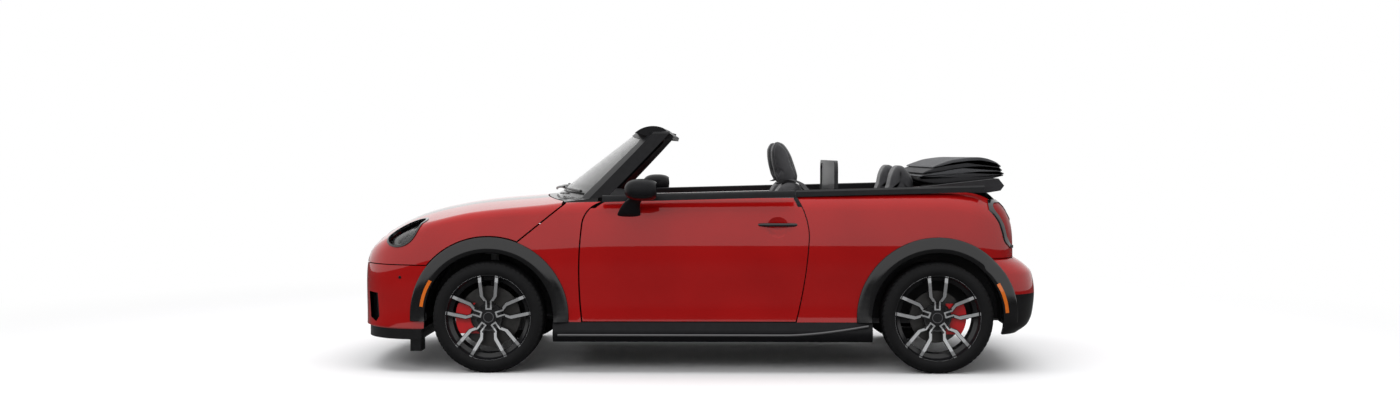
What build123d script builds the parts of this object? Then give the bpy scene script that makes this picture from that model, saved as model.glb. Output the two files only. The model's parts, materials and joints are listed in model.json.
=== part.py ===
from build123d import *
from math import cos, radians, sin
import os

os.makedirs("parts", exist_ok=True)

# A small two-door convertible with its soft top folded down.  Millimetres, +X to the
# rear, +Y to the car's right, +Z up.  The floor under the tyres is Z = 0 and the
# origin is the middle of the car's length and width on that floor.

# ---------------------------------------------------------------- driving sizes
wheelbase = 2495
front_overhang = 790          # from the front axle to the splitter's lip
rear_overhang = 594           # from the rear axle to the rear bumper
body_width = 1704             # over the doors and wings, without the arch trims
track = 1510

tyre_radius = 309
tyre_width = 215
rim_radius = 233              # bead seat
rim_lip = 246                 # outer edge of the rim
barrel_wall = 7
spoke_count = 5
bolt_circle = 56
disc_radius_front = 170
disc_radius_rear = 146
disc_thickness = 22
hub_shaft = 22                # radius of the hub's shaft in its bearing
bearing_gap = 0.3

arch_clearance = 51           # from the tyre to the arch's lip
arch_trim_width = 88
arch_trim_proud = 22          # how far the arch trim stands off the body side
liner_wall = 5

shut_gap = 6                  # between a moving panel and its frame
door_front_gap = 8            # at the door's front edge, which swings inwards
bonnet_rear_gap = 8           # at the bonnet's rear edge, which swings up and back
panel_wall = 26
flange_wall = 8               # of a panel's thin edge beside the door or the lamp
door_reach = 110              # thickness of a whole door
door_step = 34                # depth of the door's outer part, before it steps in
door_front = 509              # front edge of the door, behind the front axle
door_length = 1272
door_sill = 288
belt_height = 945             # top of the painted side, at the screen's foot
belt_rise = 0.026             # slope of the belt towards the tail

sill_bottom = 173
sill_top = 283
splitter_top = 243
floor_height = 190
floor_wall = 24
pad_depth = 12                # of the jacking pads under the sills
floor_plate = 22              # of the seat pan and the boot floor
seat_pan = 340                # rear seat pan
boot_floor = 480
bulkhead = 455                # front face of the cabin's bulkhead, behind the axle
bonnet_line = 600             # shut line between the bonnet and the front bumper
bumper_line = 640             # top of the rear bumper
tail_line = 440               # seam between the rear bumper's paint and its black foot

screen_thickness = 5
pillar_depth = 92
header_height = 1372

steering_lock = 33
kingpin_inset = 55            # from the wheel's middle plane to the steering axis
knuckle_pin = 10
hinge_pin = 6
eye_radius = 14

seat_offset = 365             # front seats, from the middle of the car
steering_wheel_radius = 182
wheel_spoke_turn = 90

# ---------------------------------------------------------------- places from them
length = front_overhang + wheelbase + rear_overhang
front_axle = -length / 2 + front_overhang
rear_axle = front_axle + wheelbase
wheel_height = tyre_radius
half_width = body_width / 2
wheel_plane = track / 2
arch_radius = tyre_radius + arch_clearance
trim_radius = arch_radius + arch_trim_width
liner_radius = arch_radius + 14
cabin_half = half_width - 7 - door_reach
kingpin = wheel_plane - kingpin_inset
rail_outer = 464              # outer face of the front rails
rear_house = 596              # inner wall of the rear wheel housings
well_half = 690               # half width of the soft top's well
strut_inset = 584             # front struts, from the middle of the car
hub_face = wheel_plane + 50
above = header_height + 200   # clear above everything
sides = (-1, 1)               # left, right
side_names = {-1: "left", 1: "right"}


def fx(distance):
    """Place of a point this far behind the front axle."""
    return front_axle + distance


def rx(distance):
    """Place of a point this far behind the rear axle."""
    return rear_axle + distance


def belt(x):
    """Height of the belt line at x."""
    return belt_height + belt_rise * (x - fx(415))


# ---------------------------------------------------------------- body sections
# Each section is a chain of arcs that meet smoothly, named by how far the surface
# leans there: from the flared foot over the waist, where the side is upright, up the
# side to the belt tilt, round the shoulder to the crown tilt, and over the top.
# Columns: place, tuck of the waist in from the half width, waist height, crown
# height, side radius, belt tilt and crown tilt in degrees.
SECTIONS = (
    (fx(-768), 402, 470, 606, 260, 12, 77),
    (fx(-748), 312, 480, 690, 300, 14, 77),
    (fx(-700), 212, 500, 750, 330, 18, 77),
    (fx(-610), 122, 530, 806, 380, 20, 78),
    (fx(-480), 62, 565, 866, 460, 20, 79),
    (fx(-320), 26, 610, 909, 620, 18, 80),
    (fx(-100), 6, 650, 946, 760, 15, 82),
    (fx(340), 5, 670, 984, 860, 14, 83),
    (fx(640), 6, 685, 1026, 860, 14, 82),
    (fx(1200), 7, 690, 1040, 860, 14, 82),
    (rx(-700), 6, 690, 1046, 860, 14, 82),
    (rx(0), 0, 690, 1054, 860, 14, 82),
    (rx(200), 16, 680, 1050, 800, 14, 82),
    (rx(320), 52, 665, 1026, 700, 14, 81),
    (rx(400), 104, 650, 968, 600, 13, 80),
    (rx(440), 165, 635, 905, 500, 12, 79),
)
SECTION_FOOT = 215
FOOT_RADIUS = 2200
FOOT_TILT = 5                 # how far the side leans in below the waist
FLARE_TILT = 7                # how far it leans out again at the foot


def section_arcs(tuck, waist, crown, side_radius, belt_tilt, crown_tilt, inset=0.0):
    """The arcs of one half section from the foot to the middle, as point triples."""
    width = half_width - tuck
    s1, c1 = sin(radians(belt_tilt)), cos(radians(belt_tilt))
    s2, c2 = sin(radians(crown_tilt)), cos(radians(crown_tilt))
    reach = width - side_radius * (1 - c1)
    slack = (1 - s2) / c2
    shoulder = crown - waist - side_radius * s1 - reach * slack
    shoulder /= (s2 - s1) - (c1 - c2) * slack
    roof = (reach - shoulder * (c1 - c2)) / c2
    foot = FOOT_RADIUS * (waist - SECTION_FOOT) / 475
    sf, cf = sin(radians(FOOT_TILT)), cos(radians(FOOT_TILT))
    sl = sin(radians(FLARE_TILT))
    flare = (waist - foot * sf - SECTION_FOOT) / (sf + sl)

    def arc(cy, cz, radius, start, end):
        tilts = (start, (start + end) / 2, end)
        return [(cy + radius * cos(radians(t)), cz + radius * sin(radians(t)))
                for t in tilts]

    flare_y = width - foot + (foot + flare) * cf
    flare_z = waist - (foot + flare) * sf
    side_y = width - side_radius
    edge_y = side_y + (side_radius - shoulder) * c1
    edge_z = waist + (side_radius - shoulder) * s1
    roof_y = edge_y + (shoulder - roof) * c2
    roof_z = edge_z + (shoulder - roof) * s2
    hollow = flare + inset
    return [
        arc(flare_y, flare_z, hollow, 180 + FLARE_TILT, 180 - FOOT_TILT),
        arc(width - foot, waist, foot - inset, -FOOT_TILT, 0),
        arc(side_y, waist, side_radius - inset, 0, belt_tilt),
        arc(edge_y, edge_z, shoulder - inset, belt_tilt, crown_tilt),
        arc(roof_y, roof_z, roof - inset, crown_tilt, 90),
    ]


def section_sketch(place, *shape, inset=0.0):
    """One whole section, standing across the car at its place."""
    half = section_arcs(*shape, inset=inset)
    with BuildSketch(Plane.YZ.offset(place)) as sketch:
        with BuildLine():
            for arc in half[:-1]:
                ThreePointArc(*arc)
            edge, _, crown = half[-1]
            ThreePointArc(edge, (0, crown[1]), (-edge[0], edge[1]))
            for arc in reversed(half[:-1]):
                ThreePointArc(*[(-y, z) for y, z in reversed(arc)])
            foot_y, foot_z = half[0][0]
            Line((-foot_y, foot_z), (foot_y, foot_z))
        make_face()
    return sketch.sketch


def body_form(inset=0.0, shift=0.0):
    """The whole outer form of the body, or the same form moved inwards."""
    with BuildPart() as form:
        for place, *shape in SECTIONS:
            drop = shift * place / abs(place)
            add(section_sketch(place - drop, *shape, inset=inset))
        loft(ruled=True)
    return form.part


outer_form = body_form()
inner_form = body_form(panel_wall, panel_wall)
flange_form = body_form(flange_wall, flange_wall)
proud_form = body_form(-arch_trim_proud, -arch_trim_proud)
skin = outer_form - inner_form


def side_face(*points):
    """A flat outline in side view, from (x, z) points."""
    with BuildSketch(Plane.XZ) as sketch:
        with BuildLine():
            Polyline(*points, close=True)
        make_face()
    return sketch.sketch


def both_slab(face, inner=0.0, outer=1100.0):
    """A side-view outline as a slab on both sides of the car, from inner to outer."""
    with BuildPart() as slab:
        for side in sides:
            with BuildPart(mode=Mode.PRIVATE) as half:
                add(face)
                extrude(amount=outer, dir=(0, side, 0))
            add(half)
        if inner:
            Box(2 * length, 2 * inner, 4 * above, mode=Mode.SUBTRACT)
    return slab.part


def block(x0, x1, y0, y1, z0, z1):
    """A plain block between two corners."""
    with BuildPart() as result:
        with Locations(((x0 + x1) / 2, (y0 + y1) / 2, (z0 + z1) / 2)):
            Box(abs(x1 - x0), abs(y1 - y0), abs(z1 - z0))
    return result.part


def across(x, z, radius, y0, y1):
    """A cylinder across the car, between two places on Y."""
    with BuildPart() as result:
        with BuildSketch(Plane.XZ.offset(-min(y0, y1))):
            with Locations((x, z)):
                Circle(radius)
        extrude(amount=abs(y1 - y0), dir=(0, 1, 0))
    return result.part


def upright(x, y, radius, z0, z1):
    """A vertical cylinder."""
    with BuildPart() as result:
        with BuildSketch(Plane.XY.offset(z0)):
            with Locations((x, y)):
                Circle(radius)
        extrude(amount=z1 - z0)
    return result.part


def side_extrusion(face, y0, y1):
    """A side-view outline as a slab between two places on Y."""
    with BuildPart() as slab:
        add(face.moved(Location((0, min(y0, y1), 0))))
        extrude(amount=abs(y1 - y0), dir=(0, 1, 0))
    return slab.part


# ---------------------------------------------------------------- outlines in side view
door_back = door_front + door_length


def door_face(grow=0.0):
    """The door's outline: a bowed front edge and a bulging rear edge."""
    with BuildSketch(Plane.XZ) as sketch:
        with BuildLine():
            foot_front = (fx(door_front + 16), door_sill)
            knee_front = (fx(door_front + 16), 824)
            neck_front = (fx(door_front + 121), 950)
            ThreePointArc(foot_front, (fx(door_front), 556), knee_front)
            ThreePointArc(knee_front, (fx(door_front + 50), 903), neck_front)
            neck_back = (fx(door_back - 74), 985)
            bulge_back = (fx(door_back), 760)
            foot_back = (fx(door_back - 72), door_sill)
            ThreePointArc(neck_back, (fx(door_back - 22), 880), bulge_back)
            ThreePointArc(bulge_back, (fx(door_back - 26), 510), foot_back)
            Polyline(neck_front, (neck_front[0], above), (neck_back[0], above), neck_back)
            Line(foot_back, foot_front)
        make_face()
        if grow:
            offset(amount=grow, kind=Kind.INTERSECTION if grow > 0 else Kind.ARC)
    return sketch.sketch


def arch_disc(radius, axle):
    """A wheel arch's round outline, open to the ground."""
    with BuildSketch(Plane.XZ) as sketch:
        with Locations((axle, wheel_height)):
            Circle(radius)
        with Locations((axle, wheel_height - radius / 2)):
            Rectangle(2 * radius, radius)
    return sketch.sketch


def belt_point(x, lift=0.0):
    return (x, belt(x) + lift)


bonnet_side = (fx(150), 726)      # where the bonnet's rear shut line meets the arch
bonnet_rear_side = fx(404)        # the bonnet's rear edge at the side and in the middle
bonnet_rear_middle = fx(249)
glass_base_side = fx(548)        # foot of the screen at the side and in the middle
glass_base_middle = fx(300)

beam_front = fx(-738)             # front face of the bumper beam
above_belt = both_slab(side_face(belt_point(fx(-900)), belt_point(rx(700)),
                                 (rx(700), above), (fx(-900), above)))
wheel_wells = [both_slab(arch_disc(arch_radius + 6, axle))
               for axle in (front_axle, rear_axle)]
door_hole = both_slab(door_face(shut_gap))


def plan_ahead(middle, at_side, y):
    """Everything ahead of an edge across the car that bows forward in the middle."""
    with BuildPart() as plan:
        with BuildSketch():
            with BuildLine():
                edge = (at_side, y)
                ThreePointArc(edge, (middle, 0), (at_side, -y))
                Polyline((edge[0], -edge[1]), (edge[0], -1100), (fx(-1000), -1100),
                         (fx(-1000), 1100), (edge[0], 1100), edge)
            make_face()
        extrude(amount=above)
    return plan.part


def bonnet_side_slab(grow=0.0):
    """Side view of all that the clamshell bonnet covers."""
    foot = bonnet_line - grow
    rear = fx(421) + grow
    return both_slab(side_face(
        (fx(-900), foot), (fx(0), foot), (fx(0), bonnet_side[1]),
        (bonnet_side[0] + grow, bonnet_side[1] - grow), belt_point(rear, -grow),
        (rear, above), (fx(-900), above)))


# ---------------------------------------------------------------- hinges' places
bonnet_hinge = (fx(432), 944)
bonnet_hinge_y = 600
bonnet_slot = (-12, 20)       # the cowl's slot about each hinge, from inboard to outboard
boot_hinge = (rx(446), 662)
boot_hinge_y = 400
boot_pin = 4
boot_eye = 9
door_axis = (fx(door_front + 95), 805)
door_hinge_heights = (430, 760)

# ---------------------------------------------------------------- lamps' places
lamp_centre = (fx(-452), 640, 758)
lamp_radius = 124
lamp_recess = 14              # depth of the lens below the bonnet's surface
lamp_margin = 60              # width of the bonnet's thin edge round the lamp
lamp_lean = 30                # degrees up from level
lamp_toe = 48                 # degrees out from straight ahead


def lamp_plane(side):
    """A plane across the headlamp, with its normal pointing out of the lamp."""
    lean, toe = radians(lamp_lean), radians(lamp_toe)
    normal = (-cos(lean) * cos(toe), side * cos(lean) * sin(toe), sin(lean))
    return Plane(origin=(lamp_centre[0], side * lamp_centre[1], lamp_centre[2]),
                 z_dir=normal)


def lamp_bore(side, radius, back=150.0, front=160.0):
    with BuildPart() as bore:
        with BuildSketch(lamp_plane(side).offset(-back)):
            Circle(radius)
        extrude(amount=back + front)
    return bore.part


tail_lamp_y = 665
tail_lamp_width = 200
tail_lamp_bottom = 690
tail_lamp_top = 962


def tail_lamp_bore(side, grow=0.0):
    """The tail lamp's rounded outline, seen from behind, run forward."""
    height = tail_lamp_top - tail_lamp_bottom
    with BuildPart() as bore:
        with BuildSketch(Plane.YZ.offset(rx(292))):
            with Locations((side * tail_lamp_y, tail_lamp_bottom + height / 2)):
                RectangleRounded(tail_lamp_width + 2 * grow, height + 2 * grow, 60)
        extrude(amount=400)
    return bore.part


boot_half = 505
boot_bottom = 668
boot_top = 948


def boot_bore(grow=0.0):
    """The boot lid's outline, seen from behind."""
    height = boot_top - boot_bottom
    with BuildPart() as bore:
        with BuildSketch(Plane.YZ.offset(rx(300))):
            with Locations((0, boot_bottom + height / 2)):
                RectangleRounded(2 * (boot_half + grow), height + 2 * grow, 40)
        extrude(amount=400)
    return bore.part


# ---------------------------------------------------------------- bonnet
def hinge_arm(x, z, y, reach, rise):
    """A flat arm with an eye, from a hinge line across the car to a panel ahead."""
    with BuildPart() as arm:
        with BuildSketch(Plane.XZ.offset(-y + 4)):
            with Locations((x, z)):
                Circle(eye_radius)
            with BuildLine():
                Polyline((x, z - eye_radius), (x, z + eye_radius),
                         (x - reach, z + rise + 12), (x - reach - 30, z + rise - 12),
                         close=True)
            make_face()
            with Locations((x, z)):
                Circle(hinge_pin + bearing_gap, mode=Mode.SUBTRACT)
        extrude(amount=-8)
    return arm.part


with BuildPart() as bonnet:
    add(skin)
    add(bonnet_side_slab(), mode=Mode.INTERSECT)
    add(plan_ahead(bonnet_rear_middle, bonnet_rear_side, 700), mode=Mode.INTERSECT)
    add(both_slab(arch_disc(trim_radius + shut_gap, front_axle), 600), mode=Mode.SUBTRACT)
    for side in sides:
        add(lamp_bore(side, lamp_radius), mode=Mode.SUBTRACT)
        add(flange_form & lamp_bore(side, lamp_radius + lamp_margin),
            mode=Mode.SUBTRACT)
        add(hinge_arm(*bonnet_hinge, side * bonnet_hinge_y, 95, -6))
bonnet.part.label = "bonnet"
export_step(bonnet.part, "parts/bonnet.step")

# ---------------------------------------------------------------- front of the body
lamp_form = body_form(lamp_recess, lamp_recess)
with BuildPart() as headlamps:
    for side in sides:
        with BuildPart(mode=Mode.PRIVATE) as lamp:
            add(lamp_form)
            add(lamp_bore(side, lamp_radius, back=78), mode=Mode.INTERSECT)
        add(lamp)
headlamps.part.label = "headlamps"
export_step(headlamps.part, "parts/headlamps.step")

with BuildPart() as cowl:
    add(skin)
    add(plan_ahead(glass_base_middle + 65, glass_base_side + 55, 727),
        mode=Mode.INTERSECT)
    add(plan_ahead(bonnet_rear_middle + bonnet_rear_gap,
                   bonnet_rear_side + bonnet_rear_gap, 700), mode=Mode.SUBTRACT)
    add(above_belt, mode=Mode.INTERSECT)
    Box(2 * length, 2 * cabin_half - 16, 4 * above, mode=Mode.INTERSECT)
    for side in sides:
        y = side * bonnet_hinge_y
        add(block(fx(300), fx(bulkhead), y + side * bonnet_slot[0],
                  y + side * bonnet_slot[1], 700, above), mode=Mode.SUBTRACT)
cowl.part.label = "cowl"
export_step(cowl.part, "parts/cowl.step")

with BuildPart() as front_wings:
    add(skin)
    add(both_slab(side_face((fx(60), sill_top + 1), (fx(door_front + 140), sill_top + 1),
                            belt_point(fx(door_front + 140)), belt_point(fx(60)))),
        mode=Mode.INTERSECT)
    add(bonnet_side_slab(shut_gap), mode=Mode.SUBTRACT)
    add(wheel_wells[0], mode=Mode.SUBTRACT)
    add(both_slab(door_face(door_front_gap)), mode=Mode.SUBTRACT)
    add(flange_form & both_slab(door_face(door_front_gap + 12)), mode=Mode.SUBTRACT)
    Box(2 * length, 2 * (cabin_half - 60), 4 * above, mode=Mode.SUBTRACT)
front_wings.part.label = "front_wings"
export_step(front_wings.part, "parts/front_wings.step")


def grille_bore(grow=0.0):
    """The grille's opening, seen from the front: wide, with cut lower corners."""
    with BuildPart() as bore:
        with BuildSketch(Plane.YZ.offset(fx(-690))) as outline:
            with BuildLine():
                Polyline((-430, 560), (430, 560), (455, 430), (330, 285),
                         (-330, 285), (-455, 430), close=True)
            make_face()
            fillet(outline.vertices(), 32)
            if grow:
                offset(amount=grow)
        extrude(amount=-300)
    return bore.part


with BuildPart() as front_bumper:
    add(skin)
    add(block(fx(-900), fx(-300), -1100, 1100, splitter_top, bonnet_line - shut_gap),
        mode=Mode.INTERSECT)
    add(wheel_wells[0], mode=Mode.SUBTRACT)
    add(grille_bore(), mode=Mode.SUBTRACT)
front_bumper.part.label = "front_bumper"
export_step(front_bumper.part, "parts/front_bumper.step")

with BuildPart() as front_grille:
    add(outer_form)
    add(grille_bore(), mode=Mode.INTERSECT)
    add(block(fx(-760), beam_front, -600, 600, 200, 700), mode=Mode.INTERSECT)
    with BuildSketch(Plane.YZ.offset(fx(-770))):
        with Locations((0, 430)):
            with GridLocations(72, 32, 11, 7):
                RectangleRounded(60, 22, 6)
    extrude(amount=80, mode=Mode.SUBTRACT)
front_grille.part.label = "front_grille"
export_step(front_grille.part, "parts/front_grille.step")

with BuildPart() as front_splitter:
    with BuildSketch(Plane.XY.offset(splitter_top)) as lip:
        with BuildLine():
            ThreePointArc((fx(-715), 600), (-length / 2, 0), (fx(-715), -600))
            for side in sides:
                ThreePointArc((fx(-715), side * 600), (fx(-600), side * 768),
                              (fx(-374), side * 838))
            Line((fx(-374), -838), (fx(-374), 838))
        make_face()
    extrude(amount=-58)
    with BuildSketch(Plane.XY.offset(splitter_top - 58)):
        add(lip.sketch.moved(Location((0, 0, -splitter_top))))
        offset(amount=-24)
    extrude(amount=36, mode=Mode.SUBTRACT)
    for side in sides:
        add(block(fx(-442), fx(-381), side * 700, side * 808, 116, splitter_top - 22))
front_splitter.part.label = "front_splitter"
export_step(front_splitter.part, "parts/front_splitter.step")

with BuildPart() as front_rails:
    add(block(beam_front, beam_front + 24, -400, 400, 400, 500))
    add(block(beam_front + 20, beam_front + 60, -rail_outer, rail_outer, 400, 480))
    for side in sides:
        add(block(beam_front + 20, fx(bulkhead), side * 404, side * rail_outer, 400, 480))
        with BuildPart(mode=Mode.PRIVATE) as carrier:
            add(block(fx(-440), fx(-385), side * rail_outer, side * 610, 460, 725))
            add(block(fx(-440), fx(-385), side * 430, side * rail_outer, 460, 530))
            add(lamp_bore(side, lamp_radius + 1, back=78), mode=Mode.SUBTRACT)
        add(carrier)
front_rails.part.label = "front_rails"
export_step(front_rails.part, "parts/front_rails.step")

with BuildPart() as engine_block:
    add(block(fx(-330), fx(170), -396, 396, 330, 770))
    chamfer(engine_block.edges().filter_by(Axis.Y), 60)
engine_block.part.label = "engine_block"
export_step(engine_block.part, "parts/engine_block.step")

# ---------------------------------------------------------------- wheel housings


def liner_ring(axle, side, y0, y1, radius, wall):
    """The upper part of a wheel housing: a ring open to the ground."""
    with BuildPart() as ring:
        add(across(axle, wheel_height, radius + wall, side * y0, side * y1))
        add(across(axle, wheel_height, radius, side * y0, side * y1), mode=Mode.SUBTRACT)
        add(block(axle - 600, axle + 600, side * y0, side * y1, -400, sill_top),
            mode=Mode.SUBTRACT)
    return ring.part


with BuildPart() as wheel_liners:
    for axle, inner in ((front_axle, rail_outer), (rear_axle, rear_house)):
        for side in sides:
            add(liner_ring(axle, side, inner, 790, liner_radius, liner_wall))
            wall_end = inner + liner_wall
            add(liner_ring(axle, side, inner, wall_end, 60, liner_radius - 60 + liner_wall))
    add(inner_form, mode=Mode.INTERSECT)
    for side in sides:
        add(block(rx(-500), rx(-80), side * cabin_half, side * 900, 0, above),
            mode=Mode.SUBTRACT)
wheel_liners.part.label = "wheel_liners"
export_step(wheel_liners.part, "parts/wheel_liners.step")

# ---------------------------------------------------------------- front suspension
arm_height = wheel_height - 105      # of the lower arm at its outer end
fork_height = wheel_height + 125     # of the strut's foot, above the knuckle

with BuildPart() as front_subframe:
    add(block(fx(-110), fx(150), -rail_outer + 4, rail_outer - 4, arm_height - 9, 330))
    for side in sides:
        add(block(fx(20), fx(100), side * 404, side * 456, 330, 400))
        with BuildSketch(Plane.XY.offset(arm_height - 9)):
            with BuildLine():
                Polyline((fx(-60), side * 440), (fx(-16), side * kingpin),
                         (fx(16), side * kingpin), (fx(140), side * 440), close=True)
            make_face()
            with Locations((fx(0), side * kingpin)):
                Circle(22)
        extrude(amount=18)
        add(upright(fx(0), side * strut_inset, 24, fork_height - 12, wheel_height + 420))
        add(upright(fx(0), side * strut_inset, 58, wheel_height + 340,
                    wheel_height + 420))
        add(block(fx(-16), fx(16), side * strut_inset, side * kingpin,
                  fork_height - 12, fork_height + 12))
        add(upright(fx(0), side * kingpin, 20, fork_height - 12, fork_height + 12))
        add(upright(fx(0), side * kingpin, knuckle_pin + bearing_gap, 0, fork_height + 40),
            mode=Mode.SUBTRACT)
        with BuildPart(mode=Mode.PRIVATE) as outside:
            add(block(fx(-500), fx(500), side * rail_outer, side * 800,
                      wheel_height + 100, 900))
            add(across(fx(0), wheel_height, liner_radius, side * rail_outer, side * 800),
                mode=Mode.SUBTRACT)
        add(outside, mode=Mode.SUBTRACT)
front_subframe.part.label = "front_subframe"
export_step(front_subframe.part, "parts/front_subframe.step")

carrier_inner = kingpin - 12
carrier_outer = kingpin + 36
disc_inner = hub_face - 58            # inner face of the brake disc
disc_middle = disc_inner + disc_thickness / 2
caliper_half = 34                     # half the caliper's width over its disc
caliper_inner = disc_middle - caliper_half

for side in sides:
    with BuildPart() as knuckle:
        add(across(fx(0), wheel_height, 44, side * carrier_inner, side * carrier_outer))
        add(block(fx(-20), fx(20), side * carrier_inner, side * (kingpin + 14),
                  arm_height + 14, fork_height - 17))
        add(upright(fx(0), side * kingpin, knuckle_pin, arm_height - 9,
                    fork_height + 12))
        add(block(fx(20), fx(105), side * carrier_inner, side * (kingpin + 6),
                  wheel_height - 40, wheel_height - 16))
        add(block(fx(-130), fx(-30), side * (kingpin + 10), side * caliper_inner,
                  wheel_height - 26, wheel_height + 20))
        add(across(fx(0), wheel_height, hub_shaft + bearing_gap, side * (kingpin - 40),
                   side * (kingpin + 60)), mode=Mode.SUBTRACT)
    knuckle.part.label = f"knuckle_{side_names[side]}"
    export_step(knuckle.part, f"parts/knuckle_{side_names[side]}.step")


def caliper(axle, side, radius, toward):
    """A brake caliper astride its disc, ahead of or behind the hub."""
    half_slot = disc_thickness / 2 + 6
    with BuildPart() as result:
        with BuildSketch(Plane.XZ.offset(-side * caliper_inner)):
            with Locations((axle, wheel_height)):
                Circle(radius + 20)
                Circle(radius - 62, mode=Mode.SUBTRACT)
            with Locations((axle + toward * 200, wheel_height - 10)):
                Rectangle(300, 170, mode=Mode.INTERSECT)
        extrude(amount=2 * side * caliper_half, dir=(0, 1, 0))
        add(across(axle, wheel_height, radius + 6, side * (disc_middle - half_slot),
                   side * (disc_middle + half_slot)), mode=Mode.SUBTRACT)
    return result.part


for side in sides:
    with BuildPart() as caliper_front:
        add(caliper(front_axle, side, disc_radius_front, -1))
    caliper_front.part.label = f"caliper_front_{side_names[side]}"
    export_step(caliper_front.part, f"parts/caliper_front_{side_names[side]}.step")

with BuildPart() as calipers_rear:
    for side in sides:
        add(caliper(rear_axle, side, disc_radius_rear, 1))
calipers_rear.part.label = "calipers_rear"
export_step(calipers_rear.part, "parts/calipers_rear.step")

with BuildPart() as rear_suspension:
    add(across(rx(0), wheel_height, 34, -kingpin, kingpin))
    for side in sides:
        add(across(rx(0), wheel_height, 44, side * carrier_inner, side * carrier_outer))
        add(block(rx(-22), rx(22), side * carrier_inner, side * (kingpin + 14),
                  wheel_height - 74, wheel_height + 20))
        add(block(rx(-20), rx(130), side * (kingpin + 10), side * caliper_inner,
                  wheel_height - 26, wheel_height + 20))
        add(block(rx(-340), rx(0), side * 500, side * 556, wheel_height - 60,
                  wheel_height - 10))
        add(upright(rx(0), side * 520, 48, wheel_height, boot_floor - floor_plate))
        add(across(rx(0), wheel_height, hub_shaft + bearing_gap, side * (kingpin - 40),
                   side * (kingpin + 60)), mode=Mode.SUBTRACT)
rear_suspension.part.label = "rear_suspension"
export_step(rear_suspension.part, "parts/rear_suspension.step")

# ---------------------------------------------------------------- wheels
tyre_half = tyre_width / 2
rim_half = 98                  # half the rim's width over its lips
spoke_face = wheel_plane + 88  # outer face of the spokes at the rim


def wheel_section(points, side):
    """A closed outline of (place across the car, radius) turned about the axle line."""
    with BuildSketch(Plane.YZ) as sketch:
        with BuildLine():
            Polyline(*[(side * y, wheel_height + r) for y, r in points], close=True)
        make_face()
    return sketch.sketch


def turned(points, axle, side):
    """The same outline revolved into a ring."""
    with BuildPart() as ring:
        add(wheel_section(points, side))
        revolve(axis=Axis((0, 0, wheel_height), (0, 1, 0)))
    return ring.part.moved(Location((axle, 0, 0)))


def tyre_ring(axle, side):
    """A low tyre: bulging walls, square shoulders and a nearly flat tread."""
    y0, y1 = wheel_plane - tyre_half, wheel_plane + tyre_half
    bead = rim_radius + 1
    wall = rim_radius + 0.45 * (tyre_radius - rim_radius)
    with BuildPart() as ring:
        with BuildSketch(Plane.YZ):
            with BuildLine():
                low, high = wheel_height + bead, wheel_height + tyre_radius
                mid = wheel_height + wall
                for y, out in ((y0, -1), (y1, 1)):
                    ThreePointArc((side * (y - out * 12), low), (side * y, mid),
                                  (side * (y - out * 10), high - 16))
                    ThreePointArc((side * (y - out * 10), high - 16),
                                  (side * (y - out * 14), high - 6),
                                  (side * (y - out * 26), high - 1.5))
                ThreePointArc((side * (y0 + 26), high - 1.5), (side * wheel_plane, high),
                              (side * (y1 - 26), high - 1.5))
                Line((side * (y0 + 12), low), (side * (y1 - 12), low))
            make_face()
        revolve(axis=Axis((0, 0, wheel_height), (0, 1, 0)))
    return ring.part.moved(Location((axle, 0, 0)))


def spokes(axle, side):
    """Five forked spokes: two prongs from the rim that close into a narrow slot."""
    with BuildSketch() as fork:
        for hand in (-1, 1):
            with BuildLine():
                Polyline((238, hand * 39), (238, hand * 60), (118, hand * 50),
                         (84, hand * 27), (40, hand * 24), (40, hand * 7),
                         (92, hand * 7), (120, hand * 27), close=True)
            make_face()
    with BuildPart() as result:
        with BuildSketch(Plane.XZ.offset(-side * spoke_face)):
            with PolarLocations(0, spoke_count, start_angle=90):
                add(fork.sketch)
            Circle(76)
        extrude(amount=-side * 34, dir=(0, 1, 0))
    return result.part.moved(Location((axle, 0, wheel_height)))


def rim_part(axle, side, disc_radius):
    """Barrel, forked spokes, hub, shaft and brake disc of one wheel."""
    y0, y1 = wheel_plane - rim_half, wheel_plane + rim_half
    inside = rim_radius - 28
    barrel = ((y0, rim_lip), (y0 + 8, rim_lip), (y0 + 12, rim_radius), (y0 + 50, rim_radius),
              (y0 + 64, inside + barrel_wall), (y1 - 44, inside + barrel_wall),
              (y1 - 30, rim_radius), (y1 - 12, rim_radius), (y1 - 8, rim_lip),
              (y1, rim_lip), (y1, rim_lip - 12), (y1 - 14, rim_radius - barrel_wall),
              (y1 - 34, rim_radius - barrel_wall), (y1 - 48, inside),
              (y0 + 62, inside), (y0 + 46, rim_radius - barrel_wall),
              (y0, rim_radius - barrel_wall))
    with BuildPart() as rim:
        add(turned(barrel, axle, side))
        with BuildPart(mode=Mode.PRIVATE) as star:
            add(spokes(axle, side))
            add(turned(((spoke_face - 60, 0), (spoke_face - 60, rim_radius),
                        (spoke_face - 2, rim_radius), (spoke_face, 200),
                        (spoke_face - 16, 70), (spoke_face - 16, 0)), axle, side),
                mode=Mode.INTERSECT)
        add(star)
        add(across(axle, wheel_height, 70, side * (hub_face - 2), side * (spoke_face - 30)))
        add(across(axle, wheel_height, 34, side * (hub_face - 2), side * (spoke_face - 12)))
        with BuildSketch(Plane.XZ.offset(-side * (spoke_face + 2))):
            with Locations((axle, wheel_height)):
                with PolarLocations(bolt_circle, spoke_count, start_angle=-90):
                    Circle(11)
        extrude(amount=-side * 34, dir=(0, 1, 0), mode=Mode.SUBTRACT)
        add(across(axle, wheel_height, disc_radius, side * disc_inner,
                   side * (disc_inner + disc_thickness)))
        add(across(axle, wheel_height, 78, side * (disc_inner + 4), side * hub_face))
        add(across(axle, wheel_height, hub_shaft, side * (carrier_inner + 2),
                   side * (disc_inner + 10)))
    return rim.part


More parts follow.
